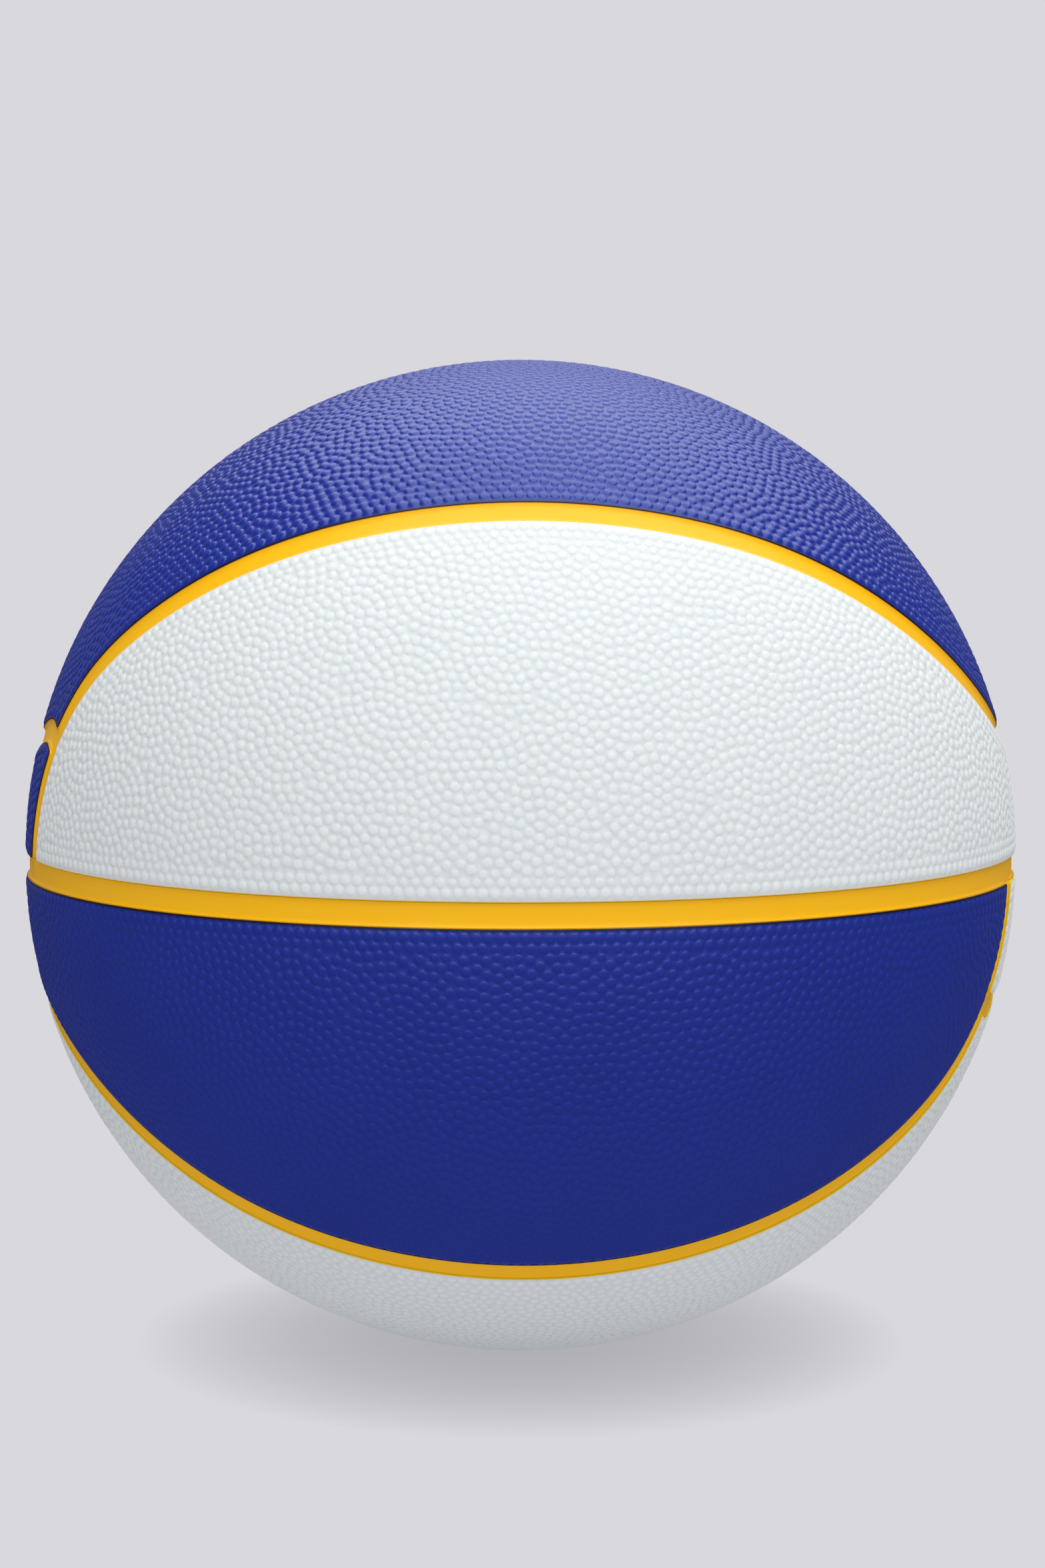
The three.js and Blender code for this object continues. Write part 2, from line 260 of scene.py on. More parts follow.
@dataclass(frozen=True)
class Finish(ABC):
    """A material, named for what the real one is and how its surface was made."""

    name: str
    colour: str

    @abstractmethod
    def surface(self, tree: bpy.types.NodeTree, place: bpy.types.NodeSocket) -> dict:
        """Adds the nodes of the finish.

        Args:
            tree: Node tree of the material.
            place: Place on the ball.

        Returns:
            Inputs of the shader.
        """

    def material(self) -> bpy.types.Material:
        """Makes the material, or finds it if it is made already.

        Returns:
            The material.
        """
        if self.name in bpy.data.materials:
            return bpy.data.materials[self.name]
        material = bpy.data.materials.new(self.name)
        material.use_nodes = True
        tree = material.node_tree
        tree.nodes.clear()
        place = add_node(tree, "ShaderNodeTexCoord").outputs["Object"]
        shader = add_node(tree, "ShaderNodeBsdfPrincipled", self.surface(tree, place))
        add_node(tree, "ShaderNodeOutputMaterial", {"Surface": shader.outputs["BSDF"]})
        return material


@dataclass(frozen=True)
class PebbledRubber(Finish):
    """Cover rubber from a spark-eroded steel mould."""

    # To the eye: a satin face with small soft lights on the polished pebble tops, a thin line of painted
    # shade over the rolled edge, and the seam's lacquer on the wall below it. The mould's grit of about 0.1
    # mm is too fine to show and is drawn at 0.35 mm.
    shade: str
    # Colour of the painted shade over the rolled edge, and down the wall where no lacquer covers it.
    wall: str
    specular: float
    lacquer: str = GOLD_LACQUER
    lacquer_top: float = -0.5
    roughness: float = 0.44
    crown_roughness: float = 0.36
    cloud: Unevenness = Unevenness(28.0, 3.0, 0.55)
    grain: Unevenness = Unevenness(0.35, 2.0, 0.6)
    grain_depth: float = 0.008
    translucency: float = 0.0
    light_depth: float = 3.0
    light_spread: tuple[float, float, float] = (1.0, 0.9, 0.8)
    gloss_tint: str = "#ffffff"

    def surface(self, tree: bpy.types.NodeTree, place: bpy.types.NodeSocket) -> dict:
        """Adds soft pigment clouds, a painted shade line and lacquer at the edge, polished crowns and a fine
        grain.

        Args:
            tree: Node tree of the material.
            place: Place on the ball.

        Returns:
            Inputs of the shader.
        """
        crown = add_node(tree, "ShaderNodeAttribute", settings={"attribute_name": "crown"}).outputs["Fac"]
        cloud = add_node(tree, "ShaderNodeTexNoise", self.cloud.links(place)).outputs["Fac"]
        grain = add_node(tree, "ShaderNodeTexNoise", self.grain.links(place)).outputs["Fac"]
        tones = {0: cloud, 6: linear(self.shade), 7: linear(self.colour)}
        tone = add_node(tree, "ShaderNodeMix", tones, RGBA).outputs[2]
        # The first of these is a painted shade line in the wall colour over the rolled edge, the second the
        # seam's lacquer.
        edge_shade_and_lacquer = (
            (self.wall, CROWN_RIM, CROWN_LINE_END),
            (self.lacquer, *(self.lacquer_top + fade for fade in LACQUER_FADE)),
        )
        for shade_or_lacquer, full, end in edge_shade_and_lacquer:
            fade = {"Value": crown, "From Min": full, "From Max": end, "To Min": 1.0, "To Max": 0.0}
            share = add_node(tree, "ShaderNodeMapRange", fade).outputs[0]
            tone = add_node(tree, "ShaderNodeMix", {0: share, 6: tone, 7: linear(shade_or_lacquer)}, RGBA).outputs[2]
        polish = {"Value": crown, "To Min": self.roughness, "To Max": self.crown_roughness}
        relief = {"Height": grain, "Distance": self.grain_depth * MM, "Strength": 1.0}
        return {
            "Base Color": tone,
            "Roughness": add_node(tree, "ShaderNodeMapRange", polish).outputs[0],
            "Normal": add_node(tree, "ShaderNodeBump", relief).outputs["Normal"],
            "IOR": RUBBER_IOR,
            "Specular IOR Level": self.specular,
            "Specular Tint": linear(self.gloss_tint),
            "Subsurface Weight": self.translucency,
            "Subsurface Radius": self.light_spread,
            "Subsurface Scale": self.light_depth * MM,
        }


@dataclass(frozen=True)
class PaintedRubber(Finish):
    """Smooth rubber channel, lacquered by brush after moulding."""

    # To the eye: an even satin with a slightly deeper tone where the lacquer pooled, and faint drag marks.
    # Marks of single bristles, about 0.1 mm, are too fine to show and are drawn at 0.9 mm.
    shade: str
    roughness: float = 0.38
    roughness_swing: float = 0.06
    specular: float = 0.22
    pool: Unevenness = Unevenness(14.0, 4.0, 0.6)
    drag: Unevenness = Unevenness(0.9, 2.0, 0.5)
    drag_depth: float = 0.02

    def surface(self, tree: bpy.types.NodeTree, place: bpy.types.NodeSocket) -> dict:
        """Adds a soft change of tone where the lacquer pooled, and shallow brush marks.

        Args:
            tree: Node tree of the material.
            place: Place on the ball.

        Returns:
            Inputs of the shader.
        """
        pool = add_node(tree, "ShaderNodeTexNoise", self.pool.links(place)).outputs["Fac"]
        drag = add_node(tree, "ShaderNodeTexNoise", self.drag.links(place)).outputs["Fac"]
        tones = {0: pool, 6: linear(self.shade), 7: linear(self.colour)}
        least, most = self.roughness - self.roughness_swing, self.roughness + self.roughness_swing
        gloss = {"Value": drag, "To Min": least, "To Max": most}
        relief = {"Height": drag, "Distance": self.drag_depth * MM, "Strength": 1.0}
        return {
            "Base Color": add_node(tree, "ShaderNodeMix", tones, RGBA).outputs[2],
            "Roughness": add_node(tree, "ShaderNodeMapRange", gloss).outputs[0],
            "Normal": add_node(tree, "ShaderNodeBump", relief).outputs["Normal"],
            "IOR": RUBBER_IOR,
            "Specular IOR Level": self.specular,
        }


@dataclass(frozen=True)
class MouldedRubber(Finish):
    """Carbon-filled rubber from a press, dusted with talc."""

    # To the eye: near black, dulled by talc that stays in the finest hollows. The dust itself is far too
    # fine to show, so its bloom is drawn in forms of 0.6 mm.
    talc: str
    talc_start: float = 0.45
    talc_full: float = 0.8
    talc_most: float = 0.6
    talc_roughening: float = 0.2
    roughness: float = 0.6
    grain: Unevenness = Unevenness(0.6, 5.0, 0.65)
    grain_depth: float = 0.03

    def surface(self, tree: bpy.types.NodeTree, place: bpy.types.NodeSocket) -> dict:
        """Adds a pressed grain and a thin bloom of talc.

        Args:
            tree: Node tree of the material.
            place: Place on the ball.

        Returns:
            Inputs of the shader.
        """
        grain = add_node(tree, "ShaderNodeTexNoise", self.grain.links(place)).outputs["Fac"]
        hollows = {"Value": grain, "From Min": self.talc_start, "From Max": self.talc_full}
        bloom = add_node(tree, "ShaderNodeMapRange", {**hollows, "To Max": self.talc_most}).outputs[0]
        tones = {0: bloom, 6: linear(self.colour), 7: linear(self.talc)}
        gloss = {"Value": bloom, "To Min": self.roughness, "To Max": self.roughness + self.talc_roughening}
        relief = {"Height": grain, "Distance": self.grain_depth * MM, "Strength": 1.0}
        return {
            "Base Color": add_node(tree, "ShaderNodeMix", tones, RGBA).outputs[2],
            "Roughness": add_node(tree, "ShaderNodeMapRange", gloss).outputs[0],
            "Normal": add_node(tree, "ShaderNodeBump", relief).outputs["Normal"],
            "IOR": BLACK_RUBBER_IOR,
        }


@dataclass(frozen=True)
class WoundThread(Finish):
    """Nylon thread wound over and over in great circles."""

    # To the eye: pale ridges with dark gaps, crossing at all angles. Real thread lies about 0.4 mm apart,
    # which is too fine to show, and is drawn 1.6 mm apart.
    gap: str
    thread_pitch: float = 1.6
    thread_depth: float = 0.25
    waver: float = 0.6
    roughness: float = 0.75
    sheen: float = 0.2
    turns: tuple[tuple[float, float, float], ...] = ((0.0, 0.0, 0.0), (1.05, 0.4, 0.0), (-0.8, 0.9, 0.5))

    def surface(self, tree: bpy.types.NodeTree, place: bpy.types.NodeSocket) -> dict:
        """Adds layers of wound ridges, each about an axis of its own, and takes the highest.

        Args:
            tree: Node tree of the material.
            place: Place on the ball.

        Returns:
            Inputs of the shader.
        """
        scale = WAVE_LENGTH / (self.thread_pitch * MM)
        heights = []
        for turn in self.turns:
            wound = add_node(tree, "ShaderNodeMapping", {"Vector": place, "Rotation": turn}).outputs[0]
            wave = {"Vector": wound, "Scale": scale, "Distortion": self.waver}
            ridges = add_node(tree, "ShaderNodeTexWave", wave, {"bands_direction": "Z"})
            heights.append(ridges.outputs["Fac"])
        height = heights[0]
        for other in heights[1:]:
            both = {0: height, 1: other}
            height = add_node(tree, "ShaderNodeMath", both, {"operation": "MAXIMUM"}).outputs[0]
        tones = {0: height, 6: linear(self.gap), 7: linear(self.colour)}
        relief = {"Height": height, "Distance": self.thread_depth * MM, "Strength": 1.0}
        return {
            "Base Color": add_node(tree, "ShaderNodeMix", tones, RGBA).outputs[2],
            "Normal": add_node(tree, "ShaderNodeBump", relief).outputs["Normal"],
            "Roughness": self.roughness,
            "Sheen Weight": self.sheen,
        }


GOLD_SEAM = PaintedRubber("brush-lacquered gold rubber", GOLD_LACQUER, "#ffbc0f")
# White rubber lets light in a few millimetres, so its pebbles look soft, and the brush strays onto its edge.
WHITE_COVER = PebbledRubber(
    "moulded white rubber",
    colour="#e5eae9",
    shade="#e1e7e6",
    # Painted shade over the rolled edge: greyish, with a faint painted reflection of the gold beside it.
    wall="#e0e2dc",
    specular=0.12,
    lacquer_top=-0.32,
    translucency=0.9,
)
# Blue rubber is dense and glossier; a dark line of painted crevice shade lies on its edge beside the gold.
BLUE_COVER = PebbledRubber(
    "moulded royal blue rubber",
    colour="#1b2e94",
    shade="#172a8c",
    wall="#150c1e",
    specular=0.6,
    roughness=0.35,
    crown_roughness=0.3,
    gloss_tint="#d3e2ff",
)
CARCASS_RUBBER = MouldedRubber("pressed carbon-black rubber", "#1f1f21", "#3a3a3c")
BUTYL = MouldedRubber("dipped butyl rubber", "#17171a", "#333336", roughness=0.5)
VALVE_RUBBER = MouldedRubber("injected valve rubber", "#1c1c1e", "#2f2f31", roughness=0.48, grain_depth=0.012)
NYLON_WINDING = WoundThread("wound nylon thread", "#d8d2c2", "#6d675a")


# Layout of the ball


@dataclass(frozen=True)
class BallLayout:
    """Sizes of the ball in millimetres, and the course of its seams in degrees."""

    radius: float = 120.0
    panel_inner: float = 118.1
    channel_floor: float = 118.9
    channel_width: float = 5.5
    loop_mean: float = 32.4
    loop_swing: float = 15.1
    loop_shoulder: float = -3.0
    loop_tip: float = 0.45
    loop_samples: int = 97
    junction: float = -70.0
    junction_dip: float = 5.5
    junction_reach: float = 4.0
    junction_softness: float = 0.8
    end_lean: float = -3.2
    corner_rounds: int = 6
    foot_flat: float = 0.5
    valve_latitude: float = 22.0
    valve_hole: float = 5.8

    @property
    def edge(self) -> float:
        """Distance from a seam's middle line to the panels beside it."""
        return self.channel_width / 2

    @property
    def valve_axis(self) -> np.ndarray:
        """Way out through the valve."""
        return self.direction(math.pi, math.radians(self.valve_latitude))

    def direction(self, longitude: np.ndarray | float, latitude: np.ndarray | float) -> np.ndarray:
        """Finds the way to a longitude from the front towards +X, and a latitude towards +Z."""
        parts = np.cos(latitude) * np.sin(longitude), -np.cos(latitude) * np.cos(longitude), np.sin(latitude)
        return np.stack(np.broadcast_arrays(*parts), axis=-1)

    def loop(self, longitude: np.ndarray) -> np.ndarray:
        """Finds the latitude of the seam loop, which dips where an end seam joins it.

        Args:
            longitude: Angle from the front towards +X.

        Returns:
            The latitude.
        """
        nearest = (np.degrees(longitude) - self.junction + 90) % 180 - 90
        apart = np.hypot(nearest, self.junction_softness) - self.junction_softness
        return np.radians(
            self.loop_mean
            + self.loop_swing * np.cos(2 * longitude)
            + self.loop_shoulder * np.cos(4 * longitude)
            + self.loop_tip * np.cos(6 * longitude)
            - self.junction_dip * np.exp(-apart / self.junction_reach)
        )

    def beside_loop(self, longitude: np.ndarray | float, distance: float) -> np.ndarray:
        """Finds the latitude of a line that runs beside the seam loop.

        The line is as far as a disc reaches while its middle follows the loop.

        Args:
            longitude: Angle from the front towards +X.
            distance: Millimetres above the loop's middle line, or below it where negative.

        Returns:
            The latitude.
        """
        start = np.asarray(longitude, dtype=float)[..., None]
        share = np.linspace(-1, 1, self.loop_samples)
        reach = abs(distance) / self.radius
        side = math.copysign(1, distance)
        middle = self.loop(start + share * reach / np.cos(self.loop(start)))
        return side * np.max(side * middle + reach * np.sqrt(1 - share**2), axis=-1)

    def beside_end(self, latitude: np.ndarray | float, distance: np.ndarray | float) -> np.ndarray:
        """Finds the longitude of a line that runs beside the seam at the left end of the upper front panel.

        Args:
            latitude: Angle from the middle seam towards +Z.
            distance: Millimetres to the right of the seam's middle line, or to its left where negative.

        Returns:
            The longitude.
        """
        top = float(self.beside_loop(math.radians(self.junction), -self.edge))
        lean = math.radians(self.end_lean)
        share = np.minimum(np.asarray(latitude) / top, 1)
        side = distance / (self.radius * math.cos(math.atan(lean / top)))
        return math.radians(self.junction) + lean * (1 - share**2) + side

    def beside_divider(self, angle: np.ndarray, distance: np.ndarray | float) -> np.ndarray:
        """Finds ways on a line that runs over the top beside the divider.

        Args:
            angle: Angle from straight up towards +X.
            distance: Millimetres behind the divider's middle line, or in front of it where negative.

        Returns:
            The ways.
        """
        across = np.broadcast_to(distance / self.radius, angle.shape)
        along = np.sqrt(1 - across**2)
        return np.stack([along * np.sin(angle), across, along * np.cos(angle)], axis=-1)

    def divider_corner(self, from_divider: float, from_loop: float) -> tuple[float, float]:
        """Finds where a line beside the divider meets a line beside the loop.

        Args:
            from_divider: Millimetres from the divider's middle line.
            from_loop: Millimetres above the loop's middle line.

        Returns:
            The longitude there, and the angle from straight up.
        """
        longitude = math.pi / 2
        for _ in range(self.corner_rounds):
            level = self.radius * math.cos(self.beside_loop(longitude, from_loop))
            longitude = math.pi / 2 - math.asin(from_divider / level)
        along = math.sqrt(1 - (from_divider / self.radius) ** 2)
        return longitude, math.acos(math.sin(self.beside_loop(longitude, from_loop)) / along)


class Quarter(Enum):
    """A half turn that brings a piece built at the upper front to its quarter, as a sign per coordinate."""

    UPPER_FRONT = (1, 1, 1)
    UPPER_BACK = (-1, -1, 1)
    LOWER_FRONT = (-1, 1, -1)
    LOWER_BACK = (1, -1, -1)


class PanelKind(Enum):
    """The two shapes of cover panel."""

    STRIP = "long panel between the middle seam and the loop"
    CAP = "half of the cap inside the loop"


# Cover panels

ROW_SLACK = 0.1
ROUNDING_STEPS = 6
PLACES_AT_A_TIME = 4096
FILL_REACH = math.radians(95)
SPREAD_REACH = math.radians(100)
INSIDE_ONLY = 1
SAME_SPOT = 1e-7
BAKE_MARGIN = 0.01
BAKE_WIDTH = 0.98
BAKE_HEIGHT = 0.47


@dataclass
class Edge:
    """A closed line round a panel, or round a hole in it, with the panel on its left seen from outside."""

    points: np.ndarray
    radius: float
    inward: np.ndarray = field(init=False)

    def __post_init__(self) -> None:
        """Finds the direction into the panel at each point."""
        ahead = np.roll(self.points, -1, axis=0) - np.roll(self.points, 1, axis=0)
        self.inward = unit(np.cross(self.points, ahead))

    @classmethod
    def rounded(cls, line: np.ndarray, radius: float, step: float, rounding: float) -> "Edge":
        """Makes an edge of even steps from a line with sharp corners.

        Args:
            line: Ways along the closed line.
            radius: Radius of the ball.
            step: Distance between the edge's points.
            rounding: Length over which corners are softened.

        Returns:
            The edge.
        """
        closed = np.vstack([line, line[:1]])
        lengths = radius * np.linalg.norm(np.diff(closed, axis=0), axis=1)
        travelled = np.concatenate([[0.0], np.cumsum(lengths)])
        count = round(travelled[-1] / step)
        stops = np.arange(count) * travelled[-1] / count
        even = np.stack([np.interp(stops, travelled, closed[:, axis]) for axis in range(3)], axis=1)
        shifts = np.arange(-ROUNDING_STEPS, ROUNDING_STEPS + 1)
        weights = np.exp(-0.5 * (shifts * step / rounding) ** 2)
        soft = sum(weight * np.roll(even, shift, axis=0) for weight, shift in zip(weights, shifts))
        return cls(unit(soft), radius)

    def inset(self, distance: float) -> np.ndarray:
        """Gives the line moved into the panel by a distance, or out of it where negative."""
        angle = distance / self.radius
        return math.cos(angle) * self.points + math.sin(angle) * self.inward

    def row(self, distance: float, pitch: float, shift: float) -> np.ndarray:
        """Sets out places along the edge.

        Args:
            distance: Distance into the panel.
            pitch: About the distance between neighbours.
            shift: Share of a pitch by which the row is moved along.

        Returns:
            The ways, without those where the row folds over itself in a corner.
        """
        line = self.inset(distance)
        length = self.radius * np.linalg.norm(np.diff(self.points, axis=0), axis=1).sum()
        count = round(length / pitch)
        stops = (np.arange(count) + shift) * len(line) / count
        low = np.floor(stops).astype(int)
        share = (stops - low)[:, None]
        places = unit(line[low % len(line)] * (1 - share) + line[(low + 1) % len(line)] * share)
        return places[self.depth(places) > distance - ROW_SLACK]

    def depth(self, ways: np.ndarray) -> np.ndarray:
        """Measures how far inside the panel some places are.

        Args:
            ways: Ways to the places.

        Returns:
            Millimetres from the edge, negative outside.
        """
        depths = np.empty(len(ways))
        for start in range(0, len(ways), PLACES_AT_A_TIME):
            part = ways[start : start + PLACES_AT_A_TIME]
            nearest = np.argmax(part @ self.points.T, axis=1)
            height = np.einsum("ij,ij->i", part, self.inward[nearest])
            apart = np.arccos(np.clip(np.einsum("ij,ij->i", part, self.points[nearest]), -1, 1))
            depths[start : start + PLACES_AT_A_TIME] = self.radius * np.where(height < 0, -apart, apart)
        return depths


def least_depth(edges: list[Edge], ways: np.ndarray) -> np.ndarray:
    """Measures how far some places are from the nearest of a panel's edges, negative outside."""
    return np.min([edge.depth(ways) for edge in edges], axis=0)


@dataclass(frozen=True)
class Pebbling:
    """The raised pebbles of the cover, and how they are set out.

    Each ring of a pebble is a share of its radius, a share of its height, and the degrees that its surface
    leans outward. From row_gap on, sizes are shares of the pitch.
    """

    pitch: float = 2.6
    ring_pitch: float = 2.45
    patch_pitch: float = 25.0
    patch_rings: int = 7
    base_radius: float = 1.24
    least_gap: float = 0.1
    height: float = 0.29
    sides: int = 8
    rings: tuple[tuple[float, float, float], ...] = ((1.0, 0.0, 16.0), (0.87, 0.5, 33.0), (0.6, 0.88, 12.0))
    least_size: float = 0.96
    least_rise: float = 0.92
    first_row: float = 2.0
    seed: int = 7
    push_rounds: int = 5
    push_strength: float = 0.3
    row_gap: float = 0.8
    patch_start: float = 0.55
    patch_gap: float = 0.76
    fill_pitch: float = 0.4
    fill_start: float = 0.5
    fill_gaps: tuple[float, ...] = (0.74, 0.68, 0.68)
    last_gap: float = 0.64
    push_reach: float = 0.98
    row_push_reach: float = 0.86

    def places(self, edges: list[Edge]) -> np.ndarray:
        """Sets out pebbles in two rows along each edge, in patches of rings between them, and in the gaps.

        Args:
            edges: Edges of the panel.

        Returns:
            Ways to the pebbles.
        """
        radius = edges[0].radius
        second_row = self.first_row + self.pitch * math.sqrt(3) / 2
        rows = []
        for edge in edges:
            rows.append(edge.row(self.first_row, self.pitch, 0.0))
            rows.append(edge.row(second_row, self.pitch, 0.5))
        fixed = self.thinned(np.vstack(rows), self.row_gap * self.pitch, radius)
        fixed = fixed[least_depth(edges, fixed) > self.first_row - ROW_SLACK]
        ringed = self.patches(radius)
        ringed = ringed[least_depth(edges, ringed) > second_row + self.patch_start * self.pitch]
        spread = round_spread(self.fill_pitch * self.pitch, radius, UP, FILL_REACH)
        spread = spread[least_depth(edges, spread) > second_row + self.fill_start * self.pitch]
        ways = self.thinned(np.vstack([fixed, ringed]), self.patch_gap * self.pitch, radius)
        # Patches leave gaps where they meet, and settling opens a few more.
        for least in self.fill_gaps:
            closest = np.max(spread.astype(np.float32) @ ways.astype(np.float32).T, axis=1)
            gaps = spread[closest < math.cos(least * self.pitch / radius)]
            ways = np.vstack([ways, self.thinned(gaps, least * self.pitch, radius)])
            ways = self.settled(ways, len(fixed), radius)
        return self.thinned(ways, self.last_gap * self.pitch, radius)

    def patches(self, radius: float) -> np.ndarray:
        """Sets out pebbles in rings about many middles, each ring as far as no other middle is nearer.

        Args:
            radius: Radius of the ball.

        Returns:
            Ways to the pebbles, over the upper half and a little below it.
        """
        middles = round_spread(self.patch_pitch, radius, UP, SPREAD_REACH)
        owners = np.arange(len(middles))
        across, along = tangents(middles)
        chance = np.random.default_rng(self.seed)
        places, nearest = [middles], [owners]
        for ring in range(1, self.patch_rings + 1):
            angle = ring * self.ring_pitch / radius
            count = round(2 * math.pi * ring * self.ring_pitch / self.pitch)
            start = chance.uniform(0, FULL_TURN, (len(middles), 1))
            turn = (start + np.arange(count) * 2 * math.pi / count)[..., None]
            outward = np.cos(turn) * across[:, None] + np.sin(turn) * along[:, None]
            spots = math.cos(angle) * middles[:, None] + math.sin(angle) * outward
            places.append(spots.reshape(-1, 3))
            nearest.append(np.repeat(owners, count))
        ways = np.vstack(places)
        return ways[np.argmax(ways @ middles.T, axis=1) == np.concatenate(nearest)]

    def thinned(self, ways: np.ndarray, least: float, radius: float) -> np.ndarray:
        """Leaves out each place that is too close to an earlier one.

        Args:
            ways: Ways to the places.
            least: Least distance that is kept.
            radius: Radius of the ball.

        Returns:
            The ways that stay.
        """
        close = ways @ ways.T > math.cos(least / radius)
        stays = np.ones(len(ways), dtype=bool)
        for later, earlier in zip(*np.nonzero(np.tril(close, -1))):
            if stays[earlier]:
                stays[later] = False
        return ways[stays]

    def settled(self, ways: np.ndarray, fixed: int, radius: float) -> np.ndarray:
        """Lets the pebbles between the rows push each other apart, and the rows push them a little less.

        Args:
            ways: Ways to the pebbles, those of the rows first.
            fixed: Number of pebbles in the rows, which stay.
            radius: Radius of the ball.

        Returns:
            Ways to the pebbles.
        """
        reach = self.push_reach * self.pitch / radius
        row_reach = self.row_push_reach * self.pitch / radius
        for _ in range(self.push_rounds):
            close = ways.astype(np.float32) @ ways.astype(np.float32).T > math.cos(reach)
            np.fill_diagonal(close, False)
            one, other = np.nonzero(close)
            apart = ways[one] - ways[other]
            gap = np.linalg.norm(apart, axis=1)
            short = np.maximum(np.where(other < fixed, row_reach, reach) - gap, 0)
            push = apart * (short / gap * self.push_strength)[:, None]
            move = np.stack([np.bincount(one, push[:, axis], len(ways)) for axis in range(3)], axis=1)
            move[:fixed] = 0
            ways = unit(ways + move)
        return ways


@dataclass
class PanelPoints:
    """Points of a panel: ways, radii, crowns, normals, and ways as spread out on the bake map."""

    ways: np.ndarray = field(default_factory=lambda: np.empty((0, 3)))
    radii: np.ndarray = field(default_factory=lambda: np.empty(0))
    crown: np.ndarray = field(default_factory=lambda: np.empty(0))
    normals: np.ndarray = field(default_factory=lambda: np.empty((0, 3)))
    spread: np.ndarray = field(default_factory=lambda: np.empty((0, 3)))

    def add(
        self,
        ways: np.ndarray,
        radii: np.ndarray | float,
        crown: float,
        normals: np.ndarray | None = None,
        spread: np.ndarray | None = None,
    ) -> np.ndarray:
        """Adds points.

        Args:
            ways: Ways to the points.
            radii: Distance of each from the middle of the ball.
            crown: 1 at the top of a pebble, 0 between pebbles, below 0 over the edge and on the wall.
            normals: Directions that the surface faces, where it doesn't face straight out.
            spread: Ways that keep the points apart on the bake map, where they differ.

        Returns:
            Numbers of the new points.
        """
        first = len(self.ways)
        self.ways = np.vstack([self.ways, ways])
        self.radii = np.concatenate([self.radii, np.broadcast_to(radii, len(ways))])
        self.crown = np.concatenate([self.crown, np.full(len(ways), crown)])
        self.normals = np.vstack([self.normals, ways if normals is None else normals])
        self.spread = np.vstack([self.spread, ways if spread is None else spread])
        return np.arange(first, first + len(ways))


